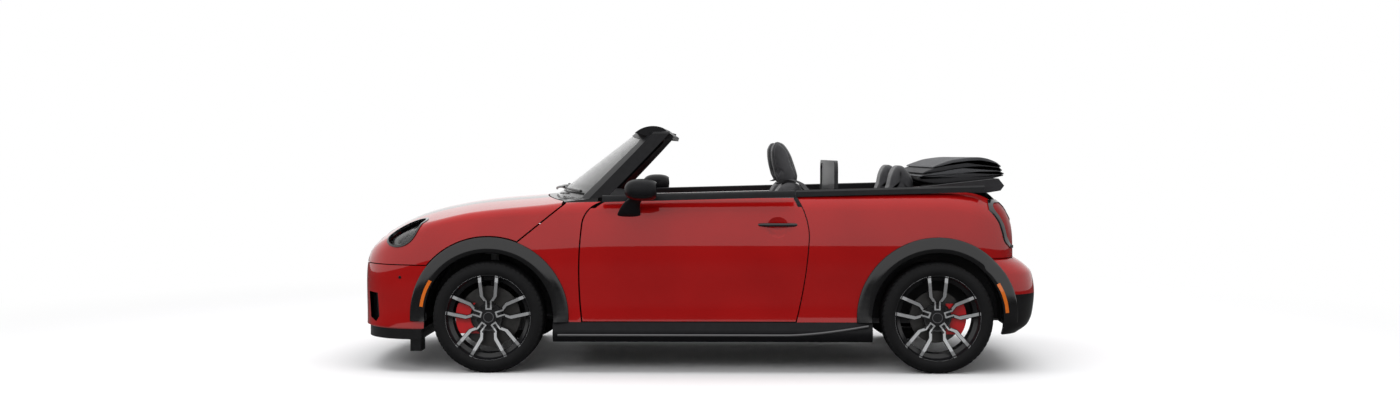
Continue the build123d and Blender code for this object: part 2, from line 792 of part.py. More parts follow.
for end, axle, disc_radius in (("front", front_axle, disc_radius_front),
                               ("rear", rear_axle, disc_radius_rear)):
    for side in sides:
        with BuildPart() as tyre:
            add(tyre_ring(axle, side))
            add(turned(((wheel_plane - rim_half, 0), (wheel_plane - rim_half, rim_lip),
                        (wheel_plane - rim_half + 8, rim_lip),
                        (wheel_plane - rim_half + 12, rim_radius + 1),
                        (wheel_plane + rim_half - 12, rim_radius + 1),
                        (wheel_plane + rim_half - 8, rim_lip),
                        (wheel_plane + rim_half, rim_lip), (wheel_plane + rim_half, 0)),
                       axle, side), mode=Mode.SUBTRACT)
        tyre.part.label = f"tyre_{end}_{side_names[side]}"
        export_step(tyre.part, f"parts/tyre_{end}_{side_names[side]}.step")
        with BuildPart() as wheel:
            add(rim_part(axle, side, disc_radius))
        wheel.part.label = f"rim_{end}_{side_names[side]}"
        export_step(wheel.part, f"parts/rim_{end}_{side_names[side]}.step")

# ---------------------------------------------------------------- floor and bulkheads
with BuildPart() as floor_pan:
    with BuildPart(mode=Mode.PRIVATE) as posts:
        add(block(fx(bulkhead), fx(bulkhead + 22), -694, 694, floor_height, above))
        for side in sides:
            add(block(fx(bulkhead), fx(640), side * 634, side * 694, floor_height, above))
        add(inner_form, mode=Mode.INTERSECT)
    add(posts)
    add(block(fx(bulkhead), rx(-360), -700, 700, floor_height, floor_height + floor_wall))
    for side in sides:
        add(block(fx(388), rx(-385), side * 640, side * 700, floor_height, sill_top))
    add(block(fx(bulkhead), rx(-700), -120, 120, floor_height, seat_pan))
    add(block(rx(-700), rx(-678), -590, 590, floor_height, seat_pan))
    add(block(rx(-700), rx(-340), -590, 590, seat_pan - floor_plate, seat_pan))
    add(block(rx(-362), rx(-340), -590, 590, floor_height, boot_floor))
    add(block(fx(bulkhead) - 10, rx(-330), -98, 98, floor_height - 20,
              seat_pan - floor_plate), mode=Mode.SUBTRACT)
    add(block(rx(-362), rx(410), -rear_house, rear_house, boot_floor - floor_plate,
              boot_floor))
    add(block(rx(-140), rx(-118), -590, 590, boot_floor, 880))
    for side in sides:
        y = side * bonnet_hinge_y
        add(block(bonnet_hinge[0] - 12, fx(bulkhead), y + side * 8, y + side * 16,
                  bonnet_hinge[1] - 12, bonnet_hinge[1] + 12))
        add(across(*bonnet_hinge, hinge_pin, y - side * 10, y + side * 16))
        for place in (fx(560), rx(-470)):
            add(block(place - 30, place + 30, side * 648, side * 692,
                      floor_height - pad_depth, floor_height))
        y = side * boot_hinge_y
        add(block(rx(388), boot_hinge[0], y + side * 6, y + side * 14,
                  bumper_line, boot_hinge[1]))
        add(across(*boot_hinge, boot_eye, y + side * 6, y + side * 14))
        add(across(*boot_hinge, boot_pin, y - side * 8, y + side * 14))
        axis_x, axis_y = door_axis[0], side * door_axis[1]
        for height in door_hinge_heights:
            add(block(axis_x - 9, axis_x + 9, side * 690, axis_y, height - 22,
                      height + 22))
            add(upright(axis_x, axis_y, 10, height - 22, height + 22))
            add(upright(axis_x, axis_y, hinge_pin, height - 46, height + 46))
    add(block(rx(388), rx(410), -600, 600, boot_floor - floor_plate, bumper_line))
floor_pan.part.label = "floor_pan"
export_step(floor_pan.part, "parts/floor_pan.step")

with BuildPart() as side_sills:
    for side in sides:
        with BuildSketch(Plane.YZ.offset(fx(340))):
            with BuildLine():
                Polyline((side * 838, sill_top), (side * 700, sill_top),
                         (side * 700, floor_height), (side * 760, floor_height),
                         (side * 790, sill_bottom), (side * 832, sill_bottom))
                ThreePointArc((side * 832, sill_bottom), (side * 855, 205),
                              (side * 856, 240))
                Line((side * 856, 240), (side * 838, sill_top))
            make_face()
        extrude(amount=rx(-340) - fx(340))
    for axle in (front_axle, rear_axle):
        add(both_slab(arch_disc(arch_radius, axle)), mode=Mode.SUBTRACT)
side_sills.part.label = "side_sills"
export_step(side_sills.part, "parts/side_sills.step")

# ---------------------------------------------------------------- rear of the body


def rear_bumper_outline(height, back, half, inset=0.0):
    """One level of the rear bumper: straight flanks, round corners, a bowed face."""
    corner = 210
    half -= inset
    back -= inset
    with BuildSketch(Plane.XY.offset(height)) as outline:
        with BuildLine():
            bow = rx(back)
            turn = (rx(back - 22), half - corner)
            flank = (rx(back - 22) - corner, half)
            bend = (rx(back - 30) - 0.29 * corner, half - 0.29 * corner)
            front = rx(150)
            ThreePointArc(turn, (bow, 0), (turn[0], -turn[1]))
            ThreePointArc(turn, bend, flank)
            ThreePointArc((turn[0], -turn[1]), (bend[0], -bend[1]), (flank[0], -flank[1]))
            Polyline(flank, (front, half), (front, -half), (flank[0], -flank[1]))
        make_face()
    return outline.sketch


# Columns: height, place behind the rear axle, half width.
REAR_BUMPER = (
    (bumper_line, 478, 800),
    (bumper_line - 40, 536, 818),
    (bumper_line - 90, 578, 832),
    (tail_line, rear_overhang, 842),
    (330, 584, 840),
    (262, 560, 832),
    (212, 500, 815),
)


def rear_bumper_form(inset=0.0):
    with BuildPart() as form:
        for height, back, half in REAR_BUMPER:
            add(rear_bumper_outline(height, back, half, inset))
        loft(ruled=True)
    return form.part


tail_pipe_height = 280
tail_pipe_radius = 42
tail_pipe_y = 48

rear_bumper_solid = rear_bumper_form()
rear_bumper_core = rear_bumper_form(panel_wall)
rear_bumper_zone = block(rx(280), rx(700), -1100, 1100, 0, bumper_line)

with BuildPart() as rear_shell:
    add(rear_bumper_solid)
    with BuildPart(mode=Mode.PRIVATE) as core:
        add(rear_bumper_core)
        add(block(rx(200), rx(700), -1100, 1100, 0, bumper_line - panel_wall),
            mode=Mode.INTERSECT)
    add(core, mode=Mode.SUBTRACT)
    add(block(rx(100), rx(290), -1100, 1100, 0, above), mode=Mode.SUBTRACT)
    add(both_slab(arch_disc(arch_radius + 6, rear_axle)), mode=Mode.SUBTRACT)
    add(block(rx(200), rx(440), -700, 700, 0, above), mode=Mode.SUBTRACT)

with BuildPart() as rear_bumper:
    add(rear_shell)
    add(block(rx(200), rx(700), -1100, 1100, 0, tail_line), mode=Mode.SUBTRACT)
rear_bumper.part.label = "rear_bumper"
export_step(rear_bumper.part, "parts/rear_bumper.step")

with BuildPart() as rear_valance:
    add(rear_shell)
    add(block(rx(200), rx(700), -1100, 1100, tail_line, above), mode=Mode.SUBTRACT)
    with BuildSketch(Plane.YZ.offset(rx(445))):
        with Locations((0, tail_pipe_height)):
            SlotOverall(2 * (tail_pipe_y + tail_pipe_radius + 5), 2 * tail_pipe_radius + 10)
    extrude(amount=200, mode=Mode.SUBTRACT)
rear_valance.part.label = "rear_valance"
export_step(rear_valance.part, "parts/rear_valance.step")

with BuildPart() as quarter_panels:
    with BuildPart(mode=Mode.PRIVATE) as cabin_side:
        add(outer_form)
        add(block(fx(door_back - 140), rx(-80), -1100, 1100, 0, above),
            mode=Mode.INTERSECT)
        Box(2 * length, 2 * cabin_half, 4 * above, mode=Mode.SUBTRACT)
    with BuildPart(mode=Mode.PRIVATE) as tail:
        add(skin)
        add(block(rx(-80), rx(700), -1100, 1100, 0, above), mode=Mode.INTERSECT)
        add(block(rx(-90), rx(345), -well_half, well_half, 700, above),
            mode=Mode.SUBTRACT)
    add(cabin_side)
    add(tail)
    add(block(fx(0), rx(700), -1100, 1100, 0, sill_top + 1), mode=Mode.SUBTRACT)
    add(rear_bumper_zone, mode=Mode.SUBTRACT)
    add(door_hole, mode=Mode.SUBTRACT)
    add(both_slab(side_face(belt_point(fx(door_back - 200)), belt_point(rx(250)),
                            (rx(250), above), (fx(door_back - 200), above))),
        mode=Mode.SUBTRACT)
    add(wheel_wells[1], mode=Mode.SUBTRACT)
    add(boot_bore(shut_gap), mode=Mode.SUBTRACT)
    for side in sides:
        add(tail_lamp_bore(side), mode=Mode.SUBTRACT)
        y = side * boot_hinge_y
        add(block(rx(380), rx(700), y - side * 12, y + side * 20, bumper_line - 1, 680),
            mode=Mode.SUBTRACT)
quarter_panels.part.label = "quarter_panels"
export_step(quarter_panels.part, "parts/quarter_panels.step")



def belt_bar(side, *stations):
    """A moulding along the belt, through (place, tuck) stations."""
    inner = cabin_half + 2
    with BuildPart() as bar:
        for place, tuck in stations:
            foot = belt(place)
            with BuildSketch(Plane.YZ.offset(place)):
                with BuildLine():
                    Polyline(*[(side * (inner - tuck + dy), foot + dz) for dy, dz in
                               ((0, 0), (0, 33), (14, 37), (33, 27), (41, 0))],
                             close=True)
                make_face()
        loft(ruled=True)
    return bar.part


cap_front = fx(door_front + 121)
cap_back = fx(door_back - 74)

with BuildPart() as belt_mouldings:
    for side in sides:
        add(belt_bar(side, (cap_back + shut_gap, 0), (rx(0), 0), (rx(270), 18)))
belt_mouldings.part.label = "belt_mouldings"
export_step(belt_mouldings.part, "parts/belt_mouldings.step")

with BuildPart() as tail_lamps:
    for side in sides:
        with BuildPart(mode=Mode.PRIVATE) as lamp:
            add(outer_form)
            add(tail_lamp_bore(side), mode=Mode.INTERSECT)
            add(block(rx(300), rx(385), side * 300, side * (tail_lamp_y + 50), 0, above),
                mode=Mode.SUBTRACT)
        add(lamp)
tail_lamps.part.label = "tail_lamps"
export_step(tail_lamps.part, "parts/tail_lamps.step")

with BuildPart() as boot_lid:
    add(skin)
    add(boot_bore(), mode=Mode.INTERSECT)
    for side in sides:
        y = side * boot_hinge_y
        add(across(*boot_hinge, 16, y - side * 10, y + side * 20), mode=Mode.SUBTRACT)
        add(across(*boot_hinge, boot_eye, y - 4, y + 4))
        add(block(rx(420), boot_hinge[0], y - 4, y + 4, boot_bottom + 2,
                  boot_bottom + 22))
        add(across(*boot_hinge, boot_pin + bearing_gap, y - 10, y + 10),
            mode=Mode.SUBTRACT)
boot_lid.part.label = "boot_lid"
export_step(boot_lid.part, "parts/boot_lid.step")

with BuildPart() as arch_trims:
    with BuildPart(mode=Mode.PRIVATE) as covered:
        add(outer_form)
        add(rear_bumper_solid)
    with BuildPart(mode=Mode.PRIVATE) as cladding:
        add(proud_form)
        add(rear_bumper_form(-arch_trim_proud))
        add(covered, mode=Mode.SUBTRACT)
        add(block(fx(-900), rx(700), -1100, 1100, 0, sill_top + 1), mode=Mode.SUBTRACT)
    for axle in (front_axle, rear_axle):
        with BuildPart(mode=Mode.PRIVATE) as pair:
            add(cladding)
            add(both_slab(arch_disc(trim_radius, axle), 600), mode=Mode.INTERSECT)
            add(both_slab(arch_disc(arch_radius, axle)), mode=Mode.SUBTRACT)
        add(pair)
arch_trims.part.label = "arch_trims"
export_step(arch_trims.part, "parts/arch_trims.step")

# ---------------------------------------------------------------- windscreen
# The screen is a band between a low and a high arc, both bowed forward in the middle.
glass_low, glass_high = 930, 1385
glass_middle_rise = 0.768         # height gained for each millimetre rearwards
glass_side_rise = 1.075


def screen_band(ahead, behind):
    """A sheet that follows the screen, from ahead of it to behind it."""
    with BuildPart() as sheet:
        for height in (glass_low, glass_high):
            middle = glass_base_middle + (height - 976) / glass_middle_rise
            at_side = glass_base_side + (height - 949) / glass_side_rise
            reach = 735 - (height - 949) * 0.36
            with BuildSketch(Plane.XY.offset(height)):
                with BuildLine():
                    outer = [(at_side + ahead, -reach), (middle + ahead, 0),
                             (at_side + ahead, reach)]
                    inner = [(at_side + behind, reach), (middle + behind, 0),
                             (at_side + behind, -reach)]
                    ThreePointArc(*outer)
                    ThreePointArc(*inner)
                    Line(outer[2], inner[0])
                    Line(inner[2], outer[0])
                make_face()
        loft(ruled=True)
    return sheet.part


def screen_outline(inset, top):
    """The screen's outline seen from the front, run rearwards."""
    with BuildPart() as bore:
        with BuildSketch(Plane.YZ.offset(fx(200))) as outline:
            with BuildLine():
                foot = (728 - inset, 940)
                head = (596 - inset, top - 26)
                ThreePointArc(head, (0, top), (-head[0], head[1]))
                Line(head, foot)
                Line((-head[0], head[1]), (-foot[0], foot[1]))
                Line(foot, (-foot[0], foot[1]))
            make_face()
            fillet(outline.vertices().group_by(Axis.Y)[-1], 46)
        extrude(amount=1200)
    return bore.part


with BuildPart() as windscreen_glass:
    add(screen_band(0, screen_thickness / 0.62))
    add(screen_outline(62, header_height - 44), mode=Mode.INTERSECT)
    add(outer_form, mode=Mode.SUBTRACT)
windscreen_glass.part.label = "windscreen_glass"
export_step(windscreen_glass.part, "parts/windscreen_glass.step")

with BuildPart() as windscreen_frame:
    add(screen_band(-4, pillar_depth))
    add(screen_outline(0, header_height), mode=Mode.INTERSECT)
    add(screen_outline(62, header_height - 44), mode=Mode.SUBTRACT)
    with BuildSketch(Plane.XZ):
        with BuildLine():
            nose, tail_end = (fx(800), header_height - 34), (fx(1016), header_height - 72)
            ThreePointArc(nose, (fx(868), header_height + 2), (fx(960), header_height - 4))
            Polyline((fx(960), header_height - 4), (fx(1022), header_height - 50), tail_end,
                     (fx(900), header_height - 60), nose)
        make_face()
    extrude(amount=560, both=True)
    add(outer_form, mode=Mode.SUBTRACT)
windscreen_frame.part.label = "windscreen_frame"
export_step(windscreen_frame.part, "parts/windscreen_frame.step")

with BuildPart() as cabin_mirror:
    with BuildSketch(Plane.YZ.offset(fx(690))):
        with Locations((0, 1206)):
            RectangleRounded(250, 62, 26)
    extrude(amount=34)
    add(side_extrusion(side_face((fx(700), 1215), (fx(715), 1238), (fx(830), 1350),
                                 (fx(880), 1350), (fx(724), 1215)), -14, 14))
    add(windscreen_frame.part, mode=Mode.SUBTRACT)
cabin_mirror.part.label = "cabin_mirror"
export_step(cabin_mirror.part, "parts/cabin_mirror.step")

# ---------------------------------------------------------------- cabin
column_tilt = 24
wheel_hub = (fx(1010), -seat_offset, 772)
column_dir = (cos(radians(column_tilt)), 0, sin(radians(column_tilt)))


def column_rod(radius, start, stop):
    """A round bar on the steering column's line, between two distances from the hub."""
    with BuildPart() as rod:
        with BuildSketch(Plane(origin=wheel_hub, z_dir=column_dir).offset(start)):
            Circle(radius)
        extrude(amount=stop - start)
    return rod.part


dash_profile = side_face(
    (fx(bulkhead + 22), 620), (fx(bulkhead + 22), 925), (fx(500), 975), (fx(565), 1000),
    (fx(650), 992), (fx(742), 950), (fx(786), 884), (fx(778), 780), (fx(740), 640),
    (fx(600), 600))

with BuildPart() as dashboard:
    add(side_extrusion(dash_profile, -694, 694))
    with BuildPart(mode=Mode.PRIVATE) as under_cowl:
        add(plan_ahead(glass_base_middle + 67, glass_base_side + 57, 727))
        add(block(fx(200), fx(700), -800, 800, 880, above), mode=Mode.INTERSECT)
    add(under_cowl, mode=Mode.SUBTRACT)
    for side in sides:
        add(block(fx(400), fx(900), side * 630, side * 700, 915, above),
            mode=Mode.SUBTRACT)
    add(block(fx(bulkhead + 22), fx(650), 630, 700, 600, above), mode=Mode.SUBTRACT)
    add(block(fx(bulkhead + 22), fx(650), -700, -630, 600, above), mode=Mode.SUBTRACT)
    add(column_rod(34, -290, -70))
    add(column_rod(16 + bearing_gap, -200, 0), mode=Mode.SUBTRACT)
    with BuildSketch(Plane.YZ.offset(fx(760))):
        with Locations((0, 868)):
            Circle(118)
    extrude(amount=38)
    add(side_extrusion(side_face((fx(552), 980), (fx(556), 980), (fx(566), 1062),
                                 (fx(562), 1062)), -seat_offset - 85, -seat_offset + 85))
dashboard.part.label = "dashboard"
export_step(dashboard.part, "parts/dashboard.step")

with BuildPart() as steering_wheel:
    wheel_face = Plane(origin=wheel_hub, z_dir=column_dir)
    with BuildSketch(Plane(origin=wheel_hub, x_dir=(0, -1, 0), z_dir=(
            -sin(radians(column_tilt)), 0, cos(radians(column_tilt))))):
        with Locations((steering_wheel_radius - 15, 0)):
            Circle(15)
    revolve(axis=Axis(wheel_hub, column_dir))
    with BuildSketch(wheel_face.offset(-16)):
        Circle(52)
        with PolarLocations(0, 3, start_angle=wheel_spoke_turn):
            with Locations((steering_wheel_radius / 2, 0)):
                Rectangle(steering_wheel_radius - 20, 34)
    extrude(amount=18)
    add(column_rod(16, -190, -14))
    add(column_rod(46, -30, 14))
steering_wheel.part.label = "steering_wheel"
export_step(steering_wheel.part, "parts/steering_wheel.step")

with BuildPart() as centre_console:
    add(side_extrusion(side_face((fx(700), seat_pan), (fx(700), 700), (fx(790), 640),
                                 (fx(900), 480), (fx(1250), 470), (fx(1290), 560),
                                 (fx(1600), 560), (fx(1600), seat_pan)), -98, 98))
    chamfer(centre_console.edges().filter_by(Axis.Y, reverse=True)
            .group_by(Axis.Z)[-1], 12)
    add(dashboard.part, mode=Mode.SUBTRACT)
centre_console.part.label = "centre_console"
export_step(centre_console.part, "parts/centre_console.step")


def front_seat(side):
    """Cushion, back with bolsters, and one-piece headrest, on two rails."""
    y0 = side * seat_offset
    with BuildPart() as seat:
        add(side_extrusion(side_face(
            (fx(1060), 300), (fx(1040), 400), (fx(1075), 455), (fx(1500), 440),
            (fx(1560), 520), (fx(1592), 800), (fx(1636), 1046), (fx(1752), 1046),
            (fx(1792), 860), (fx(1780), 520), (fx(1690), 320), (fx(1400), 290)),
            y0 - 190, y0 + 190))
        add(side_extrusion(side_face(
            (fx(1636), 1040), (fx(1598), 1180), (fx(1600), 1272), (fx(1626), 1296),
            (fx(1682), 1232), (fx(1716), 1150), (fx(1752), 1040)), y0 - 128, y0 + 128))
        for hand in (-1, 1):
            add(side_extrusion(side_face(
                (fx(1080), 330), (fx(1100), 490), (fx(1440), 500), (fx(1500), 560),
                (fx(1545), 800), (fx(1568), 950), (fx(1640), 990), (fx(1730), 960),
                (fx(1770), 800), (fx(1740), 400), (fx(1400), 330)),
                y0 + hand * 168, y0 + hand * 243))
            add(block(fx(1120), fx(1620), y0 + hand * 150, y0 + hand * 190,
                      floor_height + floor_wall, 340))
    return seat.part


with BuildPart() as front_seats:
    for side in sides:
        add(front_seat(side))
front_seats.part.label = "front_seats"
export_step(front_seats.part, "parts/front_seats.step")

with BuildPart() as rear_seat:
    add(side_extrusion(side_face(
        (rx(-706), seat_pan), (rx(-720), 440), (rx(-690), 478), (rx(-380), 462),
        (rx(-330), 560), (rx(-262), 985), (rx(-142), 985), (rx(-142), boot_floor),
        (rx(-364), boot_floor), (rx(-364), seat_pan)), -556, 556))
    for side in sides:
        y0 = side * 290
        add(side_extrusion(side_face(
            (rx(-222), 975), (rx(-210), 1060), (rx(-190), 1130), (rx(-162), 1150),
            (rx(-120), 1130), (rx(-76), 1072), (rx(-96), 975)), y0 - 120, y0 + 120))
rear_seat.part.label = "rear_seat"
export_step(rear_seat.part, "parts/rear_seat.step")

deflector_foot = 962
deflector_top = 1180

with BuildPart() as wind_deflector:
    middle = (deflector_foot + deflector_top) / 2
    with BuildSketch(Plane.YZ.offset(rx(-556))) as screen:
        with Locations((0, middle)):
            RectangleRounded(1200, deflector_top - deflector_foot, 60)
            RectangleRounded(1156, deflector_top - deflector_foot - 44, 44,
                             mode=Mode.SUBTRACT)
    extrude(amount=22)
    with BuildSketch(Plane.YZ.offset(rx(-547))):
        with Locations((0, middle)):
            RectangleRounded(1160, deflector_top - deflector_foot - 40, 44)
    extrude(amount=4)
    with BuildSketch(Plane.XY.offset(deflector_foot)):
        with Locations((rx(-415), 0)):
            RectangleRounded(282, 1240, 40)
            RectangleRounded(242, 1200, 30, mode=Mode.SUBTRACT)
    extrude(amount=16)
    with BuildSketch(Plane.XY.offset(deflector_foot + 6)):
        with Locations((rx(-415), 0)):
            RectangleRounded(250, 1208, 30)
    extrude(amount=4)
    for side in sides:
        add(across(rx(-420), deflector_foot + 8, 6, side * 600, side * cabin_half))
wind_deflector.part.label = "wind_deflector"
export_step(wind_deflector.part, "parts/wind_deflector.step")

# ---------------------------------------------------------------- soft top
with BuildPart() as soft_top_tray:
    add(side_extrusion(side_face(
        (rx(-150), 985), (rx(-44), 1034), (rx(106), 1052), (rx(360), 1080),
        (rx(392), 1040), (rx(372), 1012), (rx(300), 1000), (rx(0), 990)),
        -(well_half - 6), well_half - 6))
    add(outer_form, mode=Mode.SUBTRACT)
soft_top_tray.part.label = "soft_top_tray"
export_step(soft_top_tray.part, "parts/soft_top_tray.step")

with BuildPart() as soft_top:
    add(side_extrusion(side_face(
        (rx(-82), 1100), (rx(-60), 1122), (rx(40), 1160), (rx(136), 1188),
        (rx(252), 1200), (rx(369), 1171), (rx(410), 1112), (rx(400), 1084),
        (rx(360), 1080.3), (rx(106), 1052.3)), -600, 600))
soft_top.part.label = "soft_top"
export_step(soft_top.part, "parts/soft_top.step")

# ---------------------------------------------------------------- doors
handle_height = 825
handle_middle = fx(1609)


def mirror(side):
    """A door mirror: its head with the glass let in, on a splayed foot."""
    with BuildPart() as result:
        with BuildSketch(Plane.YZ.offset(fx(800))):
            with Locations((side * 938, 1021)):
                RectangleRounded(176, 120, 50)
        extrude(amount=150)
        with BuildSketch(Plane.YZ.offset(fx(778))):
            with Locations((side * 938, 1021)):
                RectangleRounded(120, 70, 30)
        extrude(amount=30)
        with BuildSketch(Plane.XY.offset(868)):
            with Locations((fx(782), side * 830)):
                RectangleRounded(140, 60, 24)
        with BuildSketch(Plane.XY.offset(915)):
            with Locations((fx(790), side * 858)):
                RectangleRounded(112, 66, 24)
        with BuildSketch(Plane.XY.offset(975)):
            with Locations((fx(815), side * 892)):
                RectangleRounded(88, 60, 22)
        loft(ruled=True)
        add(outer_form, mode=Mode.SUBTRACT)
    return result.part


for side in sides:
    name = side_names[side]
    axis_x, axis_y = door_axis[0], side * door_axis[1]
    with BuildPart() as door:
        add(outer_form)
        add(both_slab(door_face()), mode=Mode.INTERSECT)
        if side < 0:
            split(bisect_by=Plane.XZ, keep=Keep.TOP)
        else:
            split(bisect_by=Plane.XZ, keep=Keep.BOTTOM)
        add(both_slab(side_face(belt_point(fx(0)), belt_point(fx(2500)),
                                (fx(2500), above), (fx(0), above))), mode=Mode.SUBTRACT)
        Box(2 * length, 2 * cabin_half, 4 * above, mode=Mode.SUBTRACT)
        with BuildPart(mode=Mode.PRIVATE) as rim_cut:
            add(both_slab(side_face((fx(300), 0), (fx(2200), 0), (fx(2200), above),
                                    (fx(300), above)), outer=half_width - 7 - door_step))
            add(both_slab(door_face(-20)), mode=Mode.SUBTRACT)
            add(block(fx(700), fx(1700), -1100, 1100, 700, above), mode=Mode.SUBTRACT)
        add(rim_cut, mode=Mode.SUBTRACT)
        for height in door_hinge_heights:
            add(block(axis_x - 130, axis_x + 20, side * 690, axis_y + side * 12,
                      height - 34, height + 34), mode=Mode.SUBTRACT)
            add(upright(axis_x, axis_y, hinge_pin + bearing_gap, height - 50,
                        height + 50), mode=Mode.SUBTRACT)
        with Locations((handle_middle, side * (half_width + 80), handle_height)):
            Sphere(114, mode=Mode.SUBTRACT)
    door.part.label = f"door_{name}"
    export_step(door.part, f"parts/door_{name}.step")

    with BuildPart() as door_trim:
        add(belt_bar(side, (cap_front, 0), (cap_back, 0)))
        add(side_extrusion(side_face(
            (fx(1482), handle_height + 4), (fx(1500), handle_height + 12),
            (fx(1712), handle_height + 12), (fx(1725), handle_height + 2),
            (fx(1712), handle_height - 8), (fx(1500), handle_height - 12)),
            side * (half_width - 12), side * (half_width + 8)))
        for place in (1500, 1702):
            add(block(fx(place) - 9, fx(place) + 9, side * (half_width - 40),
                      side * (half_width - 6), handle_height - 7, handle_height + 9))
        add(mirror(side))
        add(door.part, mode=Mode.SUBTRACT)
    door_trim.part.label = f"door_trim_{name}"
    export_step(door_trim.part, f"parts/door_trim_{name}.step")

# ---------------------------------------------------------------- exhaust
with BuildPart() as exhaust:
    with BuildSketch(Plane.YZ.offset(fx(150))):
        with Locations((0, 236)):
            Circle(28)
    extrude(amount=rx(310) - fx(150))
    add(block(rx(300), rx(440), -300, 300, 236, 330))
    for side in sides:
        add(block(rx(350), rx(370), side * 190, side * 210, 320, boot_floor - floor_plate))
        with BuildSketch(Plane.YZ.offset(rx(440))):
            with Locations((side * tail_pipe_y, tail_pipe_height)):
                Circle(tail_pipe_radius)
                Circle(tail_pipe_radius - 5, mode=Mode.SUBTRACT)
        extrude(amount=146)
exhaust.part.label = "exhaust"
export_step(exhaust.part, "parts/exhaust.step")
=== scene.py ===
import json
from functools import cache, partialmethod
from math import cos, pi, radians, sin

import bmesh
import bpy
import numpy as np
from mathutils import Matrix, Vector

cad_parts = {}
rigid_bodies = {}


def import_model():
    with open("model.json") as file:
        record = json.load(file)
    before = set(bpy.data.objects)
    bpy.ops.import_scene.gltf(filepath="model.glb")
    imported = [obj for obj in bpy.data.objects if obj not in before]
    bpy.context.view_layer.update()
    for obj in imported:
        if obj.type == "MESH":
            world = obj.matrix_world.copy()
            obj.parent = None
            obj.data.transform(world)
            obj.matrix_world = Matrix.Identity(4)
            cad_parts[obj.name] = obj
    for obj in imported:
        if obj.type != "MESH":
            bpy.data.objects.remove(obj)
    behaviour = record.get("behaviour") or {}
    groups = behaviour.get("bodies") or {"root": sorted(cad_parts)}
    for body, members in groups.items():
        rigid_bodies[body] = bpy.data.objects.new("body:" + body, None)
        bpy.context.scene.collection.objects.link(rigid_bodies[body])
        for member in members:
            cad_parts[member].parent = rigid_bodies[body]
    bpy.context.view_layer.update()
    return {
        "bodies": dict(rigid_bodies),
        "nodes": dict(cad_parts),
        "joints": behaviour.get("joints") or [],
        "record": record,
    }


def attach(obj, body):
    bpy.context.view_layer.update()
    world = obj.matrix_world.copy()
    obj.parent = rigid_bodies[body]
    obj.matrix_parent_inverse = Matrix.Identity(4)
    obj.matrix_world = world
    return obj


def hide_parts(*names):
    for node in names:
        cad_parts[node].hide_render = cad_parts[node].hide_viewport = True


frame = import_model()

# ------------------------------------------------------------------ driving sizes, metres
wheelbase = 2.495
front_overhang = .790
rear_overhang = .594
half_width = .852
front_axle = -(front_overhang + wheelbase + rear_overhang) / 2 + front_overhang
rear_axle = front_axle + wheelbase
wheel_height = .309
wheel_plane = .755
arch_radius = .360
trim_radius = .448
shut_gap = .006
panel_wall = .026
cabin_half = .735
sill_top = .284
belt_height = .945               # of the painted side at the screen's foot
belt_rise = .026                 # slope of the belt towards the tail
wide = 1.1                       # beyond the car's flanks
sky = 1.6                        # above the car
sides = (-1, 1)
hands = (("left", -1), ("right", 1))
ends = (("front", front_axle), ("rear", rear_axle))
wheels = [(f"{end}_{name}", axle, side) for end, axle in ends for name, side in hands]


def fx(distance):
    """Place on X of a point this far behind the front axle."""
    return front_axle + distance


def rx(distance):
    """Place on X of a point this far behind the rear axle."""
    return rear_axle + distance


def at(place, points):
    """Side-view points, given as distances behind an axle (place is fx or rx)."""
    return [(place(x), z) for x, z in points]


def belt(x):
    """Height of the belt line."""
    return belt_height + belt_rise * (x - fx(.415))


# ------------------------------------------------------------------ meshes
def placed(name, data):
    """A new object in the scene."""
    thing = bpy.data.objects.new(name, data)
    bpy.context.scene.collection.objects.link(thing)
    return thing


def baked(piece):
    """The mesh that an object's modifiers make of it."""
    return bpy.data.meshes.new_from_object(
        piece.evaluated_get(bpy.context.evaluated_depsgraph_get()))


def make_piece(name, mesh, body, material, crease=32, node=None):
    """Puts a mesh in the scene as a smooth-shaded piece that rides on a body, and may
    take a node's place."""
    mesh.shade_smooth()
    mesh.set_sharp_from_angle(angle=radians(crease))
    piece = placed(name, mesh)
    piece.data.materials.append(material)
    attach(piece, body)
    if node:
        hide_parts(node)
    return piece


def grid(x, y, z):
    """Points (rows, columns, 3) from three grids that stretch to one shape."""
    return np.stack(np.broadcast_arrays(x, y, z), -1)


def circle(count):
    """Evenly spread angles, once round."""
    return np.linspace(0, 2 * pi, count, endpoint=False)


def grid_faces(rows, columns, wrap_rows=False):
    """The quads of a grid whose columns close on themselves, as vertex numbers."""
    r = np.arange(rows if wrap_rows else rows - 1)
    r, c = np.meshgrid(r, np.arange(columns), indexing="ij")
    r2, c2 = (r + 1) % rows, (c + 1) % columns
    quads = np.stack([r * columns + c, r2 * columns + c, r2 * columns + c2,
                      r * columns + c2], axis=-1)
    return quads.reshape(-1, 4).tolist()


def mesh_of(points, faces):
    """A closed mesh with doubled points merged and every face outward."""
    mesh = bpy.data.meshes.new("mesh")
    mesh.from_pydata(points.reshape(-1, 3).tolist(), [], faces)
    work = bmesh.new()
    work.from_mesh(mesh)
    bmesh.ops.remove_doubles(work, verts=work.verts, dist=1e-6)
    bmesh.ops.dissolve_degenerate(work, dist=1e-6, edges=work.edges)
    bmesh.ops.recalc_face_normals(work, faces=work.faces)
    if work.calc_volume(signed=True) < 0:
        bmesh.ops.reverse_faces(work, faces=work.faces)
    work.to_mesh(mesh)
    work.free()
    return mesh


def closed_tube(rings):
    """A closed skin over rings of points (rows, columns, 3), with fans over its ends."""
    rows, columns = rings.shape[:2]
    faces = grid_faces(rows, columns)
    points = np.concatenate([rings.reshape(-1, 3), rings[0].mean(0)[None],
                             rings[-1].mean(0)[None]])
    first, last = rows * columns, rows * columns + 1
    for start, middle in ((0, first), ((rows - 1) * columns, last)):
        faces += [[start + i, start + (i + 1) % columns, middle] for i in range(columns)]
    return mesh_of(points, faces)


